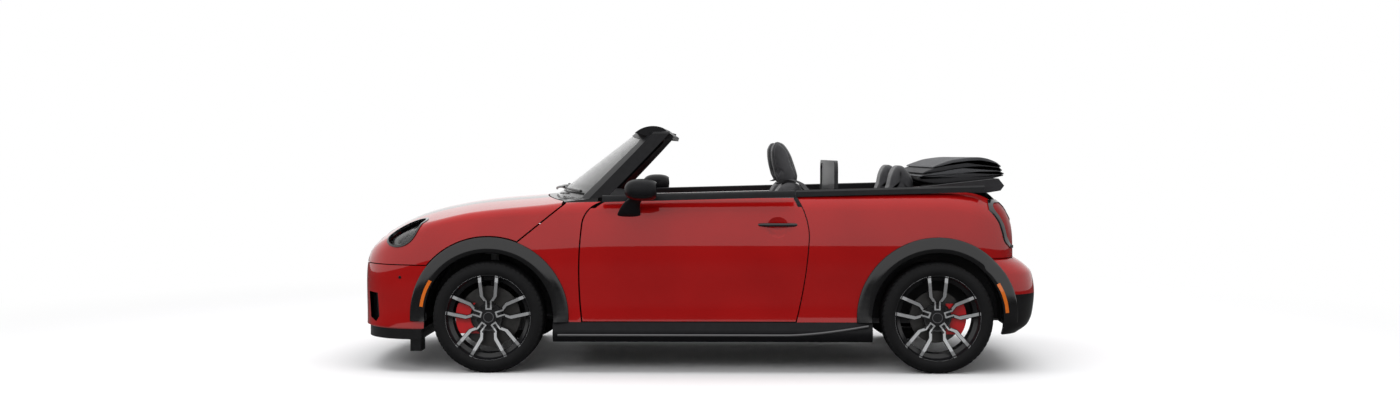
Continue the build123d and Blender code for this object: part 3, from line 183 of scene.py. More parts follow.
def prism(outline, axis, low, high):
    """A flat outline (n, 2) run along an axis of the car from low to high.

    The outline's two numbers are the other two coordinates, in X, Y, Z order."""
    outline = np.asarray(outline, float)
    count = len(outline)
    both = np.empty((2, count, 3))
    others = [i for i in range(3) if i != axis]
    both[:, :, others] = outline
    both[0, :, axis], both[1, :, axis] = low, high
    return mesh_of(both, grid_faces(2, count) + [list(range(count)),
                                                 list(range(2 * count - 1, count - 1, -1))])


def across(outline):
    """A side-view outline run across the whole car."""
    return prism(outline, 1, -wide, wide)


def cutter_pair(outline, inner=0.0):
    """A side-view outline as two prisms, one on each side of the car."""
    return [prism(outline, 1, *sorted((side * inner, side * wide))) for side in sides]


def box_mesh(x0, x1, y0, y1, z0, z1):
    """A box along the car's axes."""
    y0, y1 = sorted((y0, y1))
    return prism([(x0, y0), (x1, y0), (x1, y1), (x0, y1)], 2, z0, z1)


def slab(x0, x1, z0=0, z1=sky, half=wide):
    """A box from side to side of the car."""
    return box_mesh(x0, x1, -half, half, z0, z1)


def carve(mesh, *steps):
    """A mesh after a chain of cuts: each step is ("keep" | "cut" | "add", meshes)."""
    carved = placed("carved", mesh)
    helpers = [carved]
    for how, cutters in steps:
        cutters = cutters if isinstance(cutters, list) else [cutters]
        if how == "keep" and len(cutters) > 1:
            joined = bmesh.new()
            for cutter in cutters:
                joined.from_mesh(cutter)
            merged = bpy.data.meshes.new("cutter")
            joined.to_mesh(merged)
            joined.free()
            cutters = [merged]
        for cutter in cutters:
            helpers.append(placed("cutter", cutter))
            cut = carved.modifiers.new("cut", "BOOLEAN")
            cut.object, cut.solver = helpers[-1], "MANIFOLD"
            cut.operation = {"keep": "INTERSECT", "cut": "DIFFERENCE", "add": "UNION"}[how]
    bpy.context.view_layer.update()
    result = baked(carved)
    for helper in helpers:
        bpy.data.objects.remove(helper)
    result.materials.clear()
    return result


def arc_points(start, middle, end, count=24):
    """Points on the circle through three points, from start to end."""
    (ax, ay), (bx, by), (cx, cy) = start, middle, end
    d = 2 * (ax * (by - cy) + bx * (cy - ay) + cx * (ay - by))
    a2, b2, c2 = ax * ax + ay * ay, bx * bx + by * by, cx * cx + cy * cy
    ux = (a2 * (by - cy) + b2 * (cy - ay) + c2 * (ay - by)) / d
    uy = (a2 * (cx - bx) + b2 * (ax - cx) + c2 * (bx - ax)) / d
    t0, t1, t2 = (np.arctan2(y - uy, x - ux) for x, y in (start, middle, end))
    sweep = (t2 - t0) % (2 * pi)
    if (t1 - t0) % (2 * pi) > sweep:
        sweep -= 2 * pi
    t = t0 + np.linspace(0, 1, count) * sweep
    radius = np.hypot(ax - ux, ay - uy)
    return list(zip(ux + radius * np.cos(t), uy + radius * np.sin(t)))


# ------------------------------------------------------------------ the body's surface
# Columns: place, tuck of the waist in from the half width, waist height, crown
# height, side radius, belt tilt and crown tilt in degrees.
SECTIONS = np.array((
    (fx(-.768), .402, .470, .606, .260, 12, 77),
    (fx(-.748), .312, .480, .690, .300, 14, 77),
    (fx(-.700), .212, .500, .750, .330, 18, 77),
    (fx(-.610), .122, .530, .806, .380, 20, 78),
    (fx(-.480), .062, .565, .866, .460, 20, 79),
    (fx(-.320), .026, .610, .909, .620, 18, 80),
    (fx(-.100), .006, .650, .946, .760, 15, 82),
    (fx(.340), .005, .670, .984, .860, 14, 83),
    (fx(.640), .006, .685, 1.026, .860, 14, 82),
    (fx(1.200), .007, .690, 1.040, .860, 14, 82),
    (rx(-.700), .006, .690, 1.046, .860, 14, 82),
    (rx(0), .000, .690, 1.054, .860, 14, 82),
    (rx(.200), .016, .680, 1.050, .800, 14, 82),
    (rx(.320), .052, .665, 1.026, .700, 14, 81),
    (rx(.400), .104, .650, .968, .600, 13, 80),
    (rx(.440), .165, .635, .905, .500, 12, 79),
))
SECTION_FOOT = .215
FOOT_RADIUS = 2.2
FOOT_REACH = .475
FOOT_TILT = radians(5)
FLARE_TILT = radians(7)
POINTS_PER_ARC = (8, 14, 18, 30, 26)
ROWS_PER_METRE = 150 / 3.7


def smooth(x, knots, values):
    """Monotone cubic through (knots, values): Hermite pieces whose slopes are the
    harmonic means of the neighbouring chords, or zero where those change sign."""
    step = np.diff(knots)
    chord = np.diff(values) / step
    slope = np.zeros(len(knots))
    same = chord[:-1] * chord[1:] > 0
    w1, w2 = 2 * step[1:] + step[:-1], step[1:] + 2 * step[:-1]
    with np.errstate(divide="ignore", invalid="ignore"):
        mean = (w1 + w2) / (w1 / chord[:-1] + w2 / chord[1:])
    slope[1:-1] = np.where(same, mean, 0)
    slope[0], slope[-1] = chord[0], chord[-1]
    i = np.clip(np.searchsorted(knots, x) - 1, 0, len(step) - 1)
    h, t = step[i], (x - knots[i]) / step[i]
    return ((2 * t**3 - 3 * t**2 + 1) * values[i] + (t**3 - 2 * t**2 + t) * h * slope[i]
            + (3 * t**2 - 2 * t**3) * values[i + 1] + (t**3 - t**2) * h * slope[i + 1])


def half_sections(x, inset=0.0):
    """Half sections at each x: five arcs from the flared foot to the middle, as arrays
    y and z of shape (places, points).  The radii follow from the table's row."""
    tuck, waist, crown, side, belt_tilt, crown_tilt = (
        smooth(x, SECTIONS[:, 0], SECTIONS[:, i])[:, None] for i in range(1, 7))
    width = half_width - tuck
    b, k = np.radians(belt_tilt), np.radians(crown_tilt)
    reach = width - side * (1 - np.cos(b))
    slack = (1 - np.sin(k)) / np.cos(k)
    shoulder = crown - waist - side * np.sin(b) - reach * slack
    shoulder = shoulder / ((np.sin(k) - np.sin(b)) - (np.cos(b) - np.cos(k)) * slack)
    roof = (reach - shoulder * (np.cos(b) - np.cos(k))) / np.cos(k)
    foot = FOOT_RADIUS * (waist - SECTION_FOOT) / FOOT_REACH
    flare = (waist - foot * sin(FOOT_TILT) - SECTION_FOOT) / (sin(FOOT_TILT) + sin(FLARE_TILT))
    flat = np.zeros_like(b)
    side_y = width - side
    edge_y, edge_z = side_y + (side - shoulder) * np.cos(b), waist + (side - shoulder) * np.sin(b)
    roof_y = edge_y + (shoulder - roof) * np.cos(k)
    roof_z = edge_z + (shoulder - roof) * np.sin(k)
    arcs = (
        (width - foot + (foot + flare) * cos(FOOT_TILT), waist - (foot + flare) * sin(FOOT_TILT),
         flare + inset, flat + pi + FLARE_TILT, flat + pi - FOOT_TILT),
        (width - foot, waist, foot - inset, flat - FOOT_TILT, flat),
        (side_y, waist, side - inset, flat, b),
        (edge_y, edge_z, shoulder - inset, b, k),
        (roof_y, roof_z, roof - inset, k, flat + pi / 2),
    )
    ys, zs = [], []
    for count, (cy, cz, radius, start, end) in zip(POINTS_PER_ARC, arcs):
        last = 1 if len(ys) == len(arcs) - 1 else (count - 1) / count
        t = start + (end - start) * np.linspace(0, last, count)
        ys.append(cy + radius * np.cos(t))
        zs.append(cz + radius * np.sin(t))
    return np.concatenate(ys, 1), np.concatenate(zs, 1)


@cache
def body_form(depth=0.0):
    """The whole body's surface, or the same surface moved inwards, closed all round."""
    places = SECTIONS[:, 0]
    x = np.concatenate([np.linspace(start, stop, max(3, int(ROWS_PER_METRE * (stop - start))),
                                    endpoint=False)
                        for start, stop in zip(places, places[1:])] + [places[-1:]])
    y, z = half_sections(x, depth)
    y = np.concatenate([y, -y[:, -2::-1]], 1)
    z = np.concatenate([z, z[:, -2::-1]], 1)
    return closed_tube(grid((x - depth * np.sign(x))[:, None], y, z))


skin = carve(body_form(), ("cut", body_form(panel_wall)))

# ------------------------------------------------------------------ outlines
def disc_outline(radius, axle):
    """A wheel arch in side view: a half circle that runs straight down to the ground."""
    t = np.linspace(0, pi, 96)
    top = list(zip(axle + radius * np.cos(t), wheel_height + radius * np.sin(t)))
    return top + [(axle - radius, -.2), (axle + radius, -.2)]


def door_outline(grow=0.0):
    """The door in side view: a bowed front edge and a bulging rear edge."""
    front, back, sill = .509, 1.781, .288
    g = grow
    line = arc_points((fx(front + .016 - g), sill - g), (fx(front - g), .556),
                      (fx(front + .016 - g), .824))
    line += arc_points((fx(front + .016 - g), .824), (fx(front + .050 - g * .8), .903 + g * .5),
                       (fx(front + .121 - g), .950))[1:]
    line += [(fx(front + .121 - g), sky), (fx(back - .074 + g), sky)]
    line += arc_points((fx(back - .074 + g), .985), (fx(back - .022 + g), .880),
                       (fx(back + g), .760))
    line += arc_points((fx(back + g), .760), (fx(back - .026 + g), .510),
                       (fx(back - .072 + g), sill - g))[1:]
    return line


def plan_outline(middle, at_side, y):
    """In plan, everything ahead of an edge that bows forward in the middle."""
    edge = arc_points((at_side, y), (middle, 0), (at_side, -y), 60)
    return edge + [(at_side, -wide), (fx(-1), -wide), (fx(-1), wide), (at_side, wide)]


before_nose, behind_tail = fx(-.9), rx(.7)
bonnet_foot, bonnet_step = .600, .726


def bonnet_outline(grow=0.0):
    """The bonnet in side view: down to the wheel arch, and back to the screen."""
    rear = fx(.421) + grow
    return [(before_nose, bonnet_foot - grow), (fx(0), bonnet_foot - grow),
            (fx(0), bonnet_step), (fx(.150) + grow, bonnet_step - grow),
            (rear, belt(rear) - grow), (rear, sky), (before_nose, sky)]


def above_belt(x0, x1):
    """All that stands over the belt line from x0 to x1."""
    return across([(x0, belt(x0)), (x1, belt(x1)), (x1, sky), (x0, sky)])


lamp_centre = np.array((fx(-.452), .640, .758))
lamp_radius = .124
lamp_lean, lamp_toe = radians(30), radians(48)
tail_lamp_y = .665


def lamp_axis(side):
    """The way a headlamp looks: forwards, up and outwards."""
    return np.array((-cos(lamp_lean) * cos(lamp_toe),
                     side * cos(lamp_lean) * sin(lamp_toe), sin(lamp_lean)))


def turned(profile, centre, axis):
    """A profile of (distance along the axis, radius) turned about an axis; it starts and
    ends on the axis, so it is closed."""
    axis = np.asarray(axis, float) / np.linalg.norm(axis)
    helper = np.array((0, 0, 1.0)) if abs(axis[2]) < .9 else np.array((1.0, 0, 0))
    across_axis = np.cross(axis, helper)
    across_axis /= np.linalg.norm(across_axis)
    profile = np.asarray(profile, float)
    t = circle(96)[:, None]
    ring = across_axis * np.cos(t) + np.cross(axis, across_axis) * np.sin(t)
    points = (np.asarray(centre, float) + axis * profile[:, 0][:, None, None]
              + ring[None] * profile[:, 1][:, None, None])
    return mesh_of(points, grid_faces(*points.shape[:2]))


def lamp_bore(side, radius, back=.150, front=.160):
    """A round cutter along a headlamp's axis."""
    return turned([(-back, 0), (-back, radius), (front, radius), (front, 0)],
                  lamp_centre * (1, side, 1), lamp_axis(side))


def rounded(y0, y1, z0, z1, radius):
    """A rounded rectangle's outline."""
    corners = ((y1 - radius, z0 + radius, -pi / 2), (y1 - radius, z1 - radius, 0),
               (y0 + radius, z1 - radius, pi / 2), (y0 + radius, z0 + radius, pi))
    t = np.linspace(0, pi / 2, 10)
    return [(cy + radius * cos(a + s), cz + radius * sin(a + s))
            for cy, cz, s in corners for a in t]


def tail_lamp_bore(side, grow=0.0):
    """A rounded cutter through a tail lamp's place, along the car."""
    y = side * tail_lamp_y
    return prism(rounded(y - .1 - grow, y + .1 + grow, .690 - grow, .962 + grow, .060), 0,
                 rx(.292), rx(.692))


def boot_bore(grow=0.0):
    """A rounded cutter through the boot lid's place, along the car."""
    return prism(rounded(-.505 - grow, .505 + grow, .668 - grow, .948 + grow, .040), 0,
                 rx(.300), rx(.700))


front_well, rear_well = (cutter_pair(disc_outline(arch_radius + .006, axle))
                         for end, axle in ends)

# ------------------------------------------------------------------ materials
class Wire:
    """An output socket.  Arithmetic on wires and numbers adds Math nodes; the operators
    themselves are set below, from a table."""

    def __init__(self, finish, socket):
        self.finish, self.socket = finish, socket

    def math(self, how, *others, swap=False):
        values = [self, *others]
        if swap:
            values.reverse()
        return self.finish.node("Math", {"operation": how}, dict(enumerate(values)))

    def __rsub__(self, other):
        return self.math("SUBTRACT", other, swap=True)

    def ramp(self, low, high):
        """0 below low and 1 above high, smooth between them."""
        return self.finish.node("MapRange", {"interpolation_type": "SMOOTHSTEP"}, {
            "Value": self, "From Min": low, "From Max": high})


for method, how in {
        "__add__": "ADD", "__radd__": "ADD", "__sub__": "SUBTRACT", "__mul__": "MULTIPLY",
        "__rmul__": "MULTIPLY", "__gt__": "GREATER_THAN", "__lt__": "LESS_THAN",
        "__abs__": "ABSOLUTE", "sine": "SINE", "fract": "FRACT", "at_least": "MAXIMUM",
        "at_most": "MINIMUM", "root": "SQRT"}.items():
    setattr(Wire, method, partialmethod(Wire.math, how))


class Nodes:
    """A node tree of a material or the world, and the wires in it."""

    def __init__(self, owner):
        owner.use_nodes = True
        self.tree = owner.node_tree

    def feed(self, target, value):
        if isinstance(value, Wire):
            self.tree.links.new(value.socket, target)
        else:
            target.default_value = value

    def node(self, kind, settings=None, inputs=None, out=0):
        """Any node: its type, its settings, then its inputs' values or wires."""
        made = self.tree.nodes.new("ShaderNode" + kind)
        for key, value in (settings or {}).items():
            setattr(made, key, value)
        for key, value in (inputs or {}).items():
            self.feed(made.inputs[key], value)
        return Wire(self, made.outputs[out])

    def ray(self, kind):
        """1 for rays of that kind, 0 for others."""
        return self.node("LightPath", out=f"Is {kind} Ray")


class Finish(Nodes):
    """A material.  Constants go straight to the shader's sockets."""

    def __init__(self, name, color, roughness, **sockets):
        self.material = bpy.data.materials.new(name)
        super().__init__(self.material)
        self.material.diffuse_color = (*color, 1)
        self.shader = self.tree.nodes["Principled BSDF"]
        self.set("Base Color", (*color, 1))
        self.set("Roughness", roughness)
        for socket, value in sockets.items():
            self.set(socket.replace("_", " "), value)

    def set(self, socket, value):
        self.feed(self.shader.inputs[socket], value)

    def uneven(self, low, high, cloud):
        """Roughness between two values, as a noise has it."""
        self.set("Roughness", low + (high - low) * cloud)

    def place(self, what="Object"):
        """Object coordinates, or the object's own normal, as three wires."""
        split = self.node("SeparateXYZ", inputs={"Vector": self.node("TexCoord", out=what)})
        return [Wire(self, output) for output in split.socket.node.outputs]

    def noise(self, scale, detail=3.0):
        return self.node("TexNoise", inputs={
            "Vector": self.node("TexCoord", out="Object"), "Scale": scale, "Detail": detail})
    def blend(self, mask, low, high):
        """A colour between two others."""
        return self.node("Mix", {"data_type": "RGBA"}, {
            0: mask, 6: low if isinstance(low, Wire) else (*low, 1),
            7: high if isinstance(high, Wire) else (*high, 1)}, out=2)

    def tinted(self, mask, color, low, high):
        """Base colour between two tints of a colour."""
        self.set("Base Color", self.blend(mask, *(tuple(min(1, c * factor) for c in color)
                                                  for factor in (low, high))))

    def bump(self, height, distance, strength):
        self.set("Normal", self.node("Bump", inputs={
            "Height": height, "Distance": distance, "Strength": strength}))


def red_paint(name="red_paint", stripes=False):
    """Deep clear-coated red: a fine mottle in the base and an orange-peel coat; with
    stripes, two black bands run along it between 0.21 and 0.40 m off the middle."""
    finish = Finish(name, (.36, .004, .004), .45, Coat_Weight=1.0,
                    Coat_Roughness=.03, Specular_IOR_Level=.05)
    color = finish.blend(finish.noise(2.5).ramp(.3, .7), (.34, .0035, .0035),
                         (.38, .0045, .0045))
    if stripes:
        off = abs(finish.place()[1])
        color = finish.blend((off > .21) * (off < .40), color, (.006, .006, .007))
    finish.set("Base Color", color)
    finish.bump(finish.noise(900, 2.0), .00002, .3)
    return finish.material


def moulded(name, color, rough=(.5, .62), grain=1400, depth=.00012, shine=.5):
    """Moulded or cast: a slightly uneven colour and gloss, and a fine grain."""
    finish = Finish(name, color, rough[0], Specular_IOR_Level=shine)
    cloud = finish.noise(30)
    finish.tinted(cloud.ramp(.35, .65), color, .88, 1.12)
    finish.uneven(*rough, cloud)
    finish.bump(finish.noise(grain, 2.0), depth, .5)
    return finish.material


def gloss(name, color, roughness=.08, coat=.6, **sockets):
    """Smooth lacquer or plastic, slightly smeared."""
    finish = Finish(name, color, roughness, Coat_Weight=coat, Coat_Roughness=.04, **sockets)
    finish.uneven(roughness, roughness + .08, finish.noise(18))
    return finish.material


def leather(name, color):
    """Dark grained leather: Voronoi pebbles, creases, and slightly shiny high spots."""
    finish = Finish(name, color, .45, Sheen_Weight=.1)
    where = finish.node("TexCoord", out="Object")
    cells = finish.node("TexVoronoi", {"feature": "DISTANCE_TO_EDGE"},
                        {"Vector": where, "Scale": 420.0})
    crease = finish.noise(14, 4.0)
    finish.tinted(crease.ramp(.3, .7), color, .8, 1.25)
    finish.uneven(.40, .55, cells.ramp(0.0, .2))
    finish.bump(cells.ramp(0.0, .12) + .5 * crease, .0004, .5)
    return finish.material


def woven(name, color, pitch=.0016):
    """Canvas: two crossed sets of threads in Object coordinates, slightly uneven."""
    finish = Finish(name, color, .85, Sheen_Weight=.08)
    x, y, z = finish.place()
    weave = (x * (2 * pi / pitch)).sine() * ((y + z) * (2 * pi / pitch)).sine() * .5 + .5
    cloud = finish.noise(9)
    finish.tinted((weave * .5 + cloud * .5).ramp(.2, .8), color, .7, 1.5)
    finish.bump(weave, .0003, .6)
    return finish.material


def bare_metal(name, color, rough, scale=60.0):
    """Metal whose gloss varies from place to place."""
    finish = Finish(name, color, rough[0], Metallic=1.0)
    finish.uneven(*rough, finish.noise(scale))
    return finish.material


def glass(name, color, cover):
    """Clear pane or cover: a tinted see-through sheet with a polished face."""
    finish = Finish(name, color, .02, Alpha=cover, Coat_Weight=1.0, Coat_Roughness=.01)
    finish.uneven(.02, .05, finish.noise(12))
    return finish.material


def wheel_metal():
    """Black pockets and bright machined faces: bright where the surface faces outwards
    and lies near the wheel's outer plane, with fine turning marks; the brake disc and
    the hub inboard of them are grey."""
    finish = Finish("wheel_metal", (.02, .02, .022), .25, Metallic=.6)
    x, y, z = finish.place()
    facing = abs(finish.place("Normal")[1])
    out = abs(y)
    dx = x - (front_axle + wheelbase * (x > .1))
    dz = z - wheel_height
    radius = (dx * dx + dz * dz).root()
    fifth = 2 * pi / 5                 # the angle from one fork to the next
    turn = abs((dx.math("ARCTAN2", dz) * (1 / fifth) + 10.5).fract() - .5) * fifth
    off, up = radius * turn.sine(), radius * turn.math("COSINE")
    arm = (up > .118) * (off > up * .100 + .0170) * (off < up * .092 + .0360)
    bend = (up > .090) * (up < .119) * (abs(off - up * .69 + .0434) < .0085)
    stem = (up > .044) * (up < .091) * (abs(off - .0130) < .0042)
    tip = (up > .042) * (up < .050) * (off < .0172)
    lip = (radius > .2365) * (radius < .2430) * (turn > radians(15.5))
    forks = arm.at_least(bend).at_least(stem).at_least(tip).at_least(lip)
    machined = (facing > .82) * (out > wheel_plane + .0615) * forks
    inboard = (out < wheel_plane + .030) * (radius < .178)
    turning = (radius * 9000).sine() * .5 + .5
    bright = finish.blend(turning, (.50, .51, .52), (.62, .63, .64))
    disc = finish.blend(finish.noise(40), (.045, .044, .043), (.080, .078, .076))
    color = finish.blend(machined, (.008, .008, .009), bright)
    cap = (radius > .0255) * (radius < .0290) * (out > wheel_plane + .02)
    color = finish.blend(cap, color, (.10, .10, .105))
    finish.set("Base Color", finish.blend(inboard, color, disc))
    finish.set("Metallic", (machined + inboard).at_most(1.0) * .85)
    finish.set("Roughness", .24 + .10 * machined + .16 * inboard)
    return finish.material


PAINT = red_paint()
STRIPED = red_paint("striped_paint", True)
TRIM = moulded("black_trim", (.004, .004, .0045), (.12, .20), depth=.00003,
               shine=.65)
SATIN = moulded("satin_black", (.007, .007, .008), (.34, .44), shine=.18)
UNDER = moulded("underbody", (.014, .014, .015), (.65, .8), 500, .0004)
CAST = moulded("cast_metal", (.16, .16, .165), (.5, .7), 700, .0003)
GLOSS_BLACK = gloss("gloss_black", (.006, .006, .007))
DASH = moulded("dash_plastic", (.030, .030, .033), (.55, .68), 900, .0003)
LEATHER = leather("dark_leather", (.030, .030, .033))
LEATHER_LIGHT = leather("grey_leather", (.10, .102, .108))
CANVAS = woven("top_canvas", (.020, .020, .022))
# the same canvas made lighter: a painted highlight for the light on every second fold of the
# folded top
CANVAS_PAINTED_HIGHLIGHT = woven("top_canvas_painted_highlight", (.055, .056, .060))
STEEL = bare_metal("dull_steel", (.34, .34, .35), (.3, .5))
CALIPER = gloss("caliper_red", (.62, .006, .010), .25)
CLEAR = glass("clear_glass", (.010, .011, .011), .56)
LAMP_CLEAR = glass("lamp_glass", (.008, .008, .008), .34)
LAMP_RED = gloss("lamp_red", (.26, .003, .004), .30, 0.0, Specular_IOR_Level=.10)
AMBER = gloss("marker_amber", (.75, .16, .01), .12)
RUBBER = moulded("tyre_rubber", (.0075, .0075, .008), (.62, .78), 800, .0002,
                 shine=.2)
ACCENT = bare_metal("sill_accent", (.16, .16, .165), (.30, .42))
REFLECTOR = bare_metal("lamp_reflector", (.20, .205, .20), (.22, .32), 30)
LIGHT_GUIDE = gloss("light_guide", (.42, .43, .42), .25)
WHEEL = wheel_metal()


def deflector_net():
    """Black frames; between them the thin sheets are dark net that lets light through."""
    deflector_x, thread_turns, black = rx(-.545), 2600, (.008, .008, .009)
    finish = Finish("deflector_net", black, .4)
    x, y, z = finish.place()
    sheet = (abs(x - deflector_x) < .0032) * (abs(y) < .577) * (z > .985)
    threads = (y * thread_turns).sine() * (z * thread_turns).sine() * .5 + .5
    finish.set("Base Color", finish.blend(sheet, black, (.05, .05, .053)))
    finish.set("Alpha", 1.0 - sheet * (.10 + .06 * threads))
    return finish.material


NET = deflector_net()

NODE_FINISH = (
    (TRIM, "cowl front_splitter cabin_mirror rear_valance arch_trims"),
    (SATIN, "side_sills belt_mouldings windscreen_frame door_trim_left door_trim_right"),
    (UNDER, "front_rails wheel_liners floor_pan"),
    (CAST, "engine_block front_subframe knuckle_left knuckle_right rear_suspension"),
    (CALIPER, "caliper_front_left caliper_front_right calipers_rear"),
    (GLOSS_BLACK, "front_grille"), (STEEL, "exhaust"), (NET, "wind_deflector"),
    (LAMP_RED, "tail_lamps"), (LAMP_CLEAR, "headlamps"), (CLEAR, "windscreen_glass"),
    (DASH, "dashboard centre_console"), (LEATHER, "steering_wheel front_seats rear_seat"),
    (CANVAS, "soft_top_tray soft_top"), (STRIPED, "bonnet"),
    (PAINT, "front_wings front_bumper rear_bumper quarter_panels boot_lid door_left door_right"),
    (RUBBER, " ".join(f"tyre_{which}" for which, axle, side in wheels)),
    (WHEEL, " ".join(f"rim_{which}" for which, axle, side in wheels)))
for finish, nodes in NODE_FINISH:
    for node in nodes.split():
        carried = bpy.data.objects[node]
        carried.data.materials.clear()
        carried.data.materials.append(finish)

# ------------------------------------------------------------------ painted panels
def paint_faces(piece, material, chosen):
    """Gives the faces that pass a test another material."""
    piece.data.materials.append(material)
    slot = len(piece.data.materials) - 1
    for face in piece.data.polygons:
        if chosen(face):
            face.material_index = slot


# the faces picked here are painted dark behind the panels as painted shade
def inside(face):
    """True where a panel's face looks in towards the car's middle or down."""
    return face.normal.y * face.center.y < -.25 * abs(face.center.y) or (
        face.normal.z < -.5 and face.center.z > .62) or (
        face.normal.x < -.5 and face.center.x > rx(.1))


def panel(name, mesh, node, body="body", material=PAINT, painted_shade_faces=inside):
    """A painted panel whose faces behind it are painted dark: painted shade in the gaps between
    panels, and a stand-in for the trim behind them.
    """
    piece = make_piece(name, mesh, body, material, node=node)
    if painted_shade_faces:
        # the faces behind the panel take the dark underbody finish as painted shade
        paint_faces(piece, UNDER, painted_shade_faces)
    return piece


lamp_recess = .008
door_gap = .008
bonnet = carve(
    skin, ("keep", cutter_pair(bonnet_outline())),
    ("keep", prism(plan_outline(fx(.249), fx(.404), .700), 2, 0, sky)),
    ("cut", cutter_pair(disc_outline(trim_radius + shut_gap, front_axle), .6)),
    ("cut", [lamp_bore(side, lamp_radius) for side in sides]),
    ("cut", [carve(body_form(lamp_recess), ("keep", lamp_bore(side, lamp_radius + .060)))
             for side in sides]))
panel("bonnet_skin", bonnet, "bonnet", "bonnet", STRIPED,
      lambda face: face.normal.z < -.1 or inside(face))

wing_front, wing_back, wing_inner = fx(.060), fx(.649), .675
wing_box = [(wing_front, sill_top), (wing_back, sill_top), (wing_back, belt(wing_back)),
            (wing_front, belt(wing_front))]
wings = carve(
    skin, ("keep", cutter_pair(wing_box, wing_inner)),
    ("cut", cutter_pair(bonnet_outline(shut_gap))), ("cut", front_well),
    ("cut", cutter_pair(door_outline(door_gap))))
panel("wing_skins", wings, "front_wings")
grille_outline = [(-.430, .560), (.430, .560), (.455, .430), (.330, .285), (-.330, .285),
                  (-.455, .430)]
bumper_low, bumper_high = .243, .594
bumper = carve(
    skin, ("keep", slab(before_nose, fx(-.3), bumper_low, bumper_high)), ("cut", front_well),
    ("cut", prism(grille_outline, 0, fx(-.99), fx(-.69))))
intake = at(fx, [(-.716, .436), (-.650, .432), (-.640, .300), (-.664, .268), (-.706, .290)])
bumper = carve(bumper, ("cut", carve(across(intake), ("cut", body_form(.018)))))
bumper_piece = panel("bumper_skin", bumper, "front_bumper",
                     painted_shade_faces=lambda face: face.normal.x > .3 or inside(face))

side_end = rx(-.08)               # the sides are thick ahead of this, and a skin behind
deck_half = .690
thick_side = carve(body_form(), ("keep", slab(fx(1.641), side_end)),
                   ("cut", slab(fx(1), behind_tail, -1, 2, cabin_half)))
tail_skin = carve(skin, ("keep", slab(side_end, behind_tail)),
                  ("cut", slab(rx(-.09), rx(.345), .7, sky, deck_half)))
bumper_foot, bumper_line = .212, .640
quarter = carve(thick_side, ("add", tail_skin))
quarter = carve(quarter, ("cut", [
    slab(fx(0), behind_tail, -1, sill_top), slab(rx(.28), behind_tail, 0, bumper_line),
    above_belt(fx(1.581), rx(.25)), boot_bore(shut_gap), *cutter_pair(door_outline(shut_gap)),
    *rear_well, *(tail_lamp_bore(side) for side in sides)]))
panel("quarter_skins", quarter, "quarter_panels")

panel("boot_skin", carve(skin, ("keep", boot_bore())), "boot_lid", "boot_lid",
      painted_shade_faces=lambda face: face.normal.x < -.3 or face.normal.z < -.5)

handle_middle = fx(1.609)
handle_height = .825
door_box = fx(.3), fx(2.2)
step_y = .811
hinge_heights = (.430, .760)
cup_radius = .114
cup = [(cup_radius * sin(a), cup_radius * cos(a) if abs(a) < 1.57 else 0)
       for a in np.linspace(-pi / 2, pi / 2, 40)]
for name, side in hands:
    door = carve(body_form(),
                 ("keep", box_mesh(*door_box, side * cabin_half, side * wide, 0, sky)),
                 ("keep", across(door_outline())), ("cut", above_belt(fx(0), fx(2.5))),
                 ("cut", turned(cup, (handle_middle, side * .932, handle_height), (0, 1, 0))))
    step = carve(box_mesh(*door_box, side * .5, side * step_y, 0, sky),
                 ("cut", [across(door_outline(-.020)), slab(fx(.7), fx(1.7), .7)]))
    bearings = [box_mesh(fx(.474), fx(.624), side * .690, side * .817, height - .034,
                         height + .034) for height in hinge_heights]
    door = carve(door, ("cut", step), ("cut", bearings))
    skin_piece = panel(f"door_skin_{name}", door, f"door_{name}", f"door_{name}",
                       painted_shade_faces=None)
    paint_faces(skin_piece, DASH, lambda face: abs(face.center.y) < .77)

# ------------------------------------------------------------------ rear bumper
# Columns: height, place behind the rear axle, half width.
REAR_BUMPER = np.array((
    (.212, .500, .815), (.262, .560, .832), (.330, .584, .840), (.440, .594, .842),
    (.550, .578, .832), (.600, .536, .818), (.640, .478, .800)))
BUMPER_CORNER = .210
valance_top = .440
BUMPER_START = rx(.150)


def bumper_line_at(height):
    """Place behind the rear axle and half width of the rear bumper at a height."""
    return [smooth(height, REAR_BUMPER[:, 0], REAR_BUMPER[:, i]) for i in (1, 2)]


def bumper_form(inset=0.0):
    """The rear bumper's levels from the ground up: straight flanks, round corners and a
    bowed face, with the place and half width smooth over the height."""
    rings = []
    for height in np.linspace(bumper_foot, bumper_line, 40):
        back, half = (value - inset for value in bumper_line_at(height))
        c = BUMPER_CORNER
        turn = (rx(back - .022), half - c)
        bend = (rx(back - .030) - .29 * c, half - .29 * c)
        flank = (rx(back - .022) - c, half)
        line = arc_points(flank, bend, turn, 14)
        line += arc_points(turn, (rx(back), 0), (turn[0], -turn[1]), 40)[1:]
        line += arc_points((turn[0], -turn[1]), (bend[0], -bend[1]), (flank[0], -half), 14)[1:]
        line = [(BUMPER_START, half)] + line + [(BUMPER_START, -half)]
        rings.append([(x, y, height) for x, y in line])
    return closed_tube(np.array(rings))


bumper_core = carve(bumper_form(panel_wall),
                    ("keep", slab(rx(.2), behind_tail, 0, bumper_line - panel_wall)))
bumper_shell = carve(bumper_form(), ("cut", bumper_core),
                     ("cut", [slab(rx(.1), rx(.29)), *rear_well,
                              slab(rx(.2), rx(.44), 0, sky, .7)]))
panel("rear_bumper_skin",
      carve(bumper_shell, ("cut", slab(rx(.2), behind_tail, 0, valance_top))), "rear_bumper",
      painted_shade_faces=lambda face: face.normal.x < -.5 or inside(face))
pipes = prism(rounded(-.095, .095, .233, .327, .046), 0, rx(.445), rx(.645))
panel("rear_valance_skin",
      carve(bumper_shell, ("cut", [slab(rx(.2), behind_tail, valance_top), pipes])),
      "rear_valance", material=TRIM, painted_shade_faces=None)

# ------------------------------------------------------------------ the side as a height
SIDE_X = np.linspace(SECTIONS[0, 0], SECTIONS[-1, 0], 600)
SIDE_Z = np.linspace(.20, .98, 400)
side_y_table = np.stack([np.interp(SIDE_Z, z, y) for y, z in zip(*half_sections(SIDE_X))])


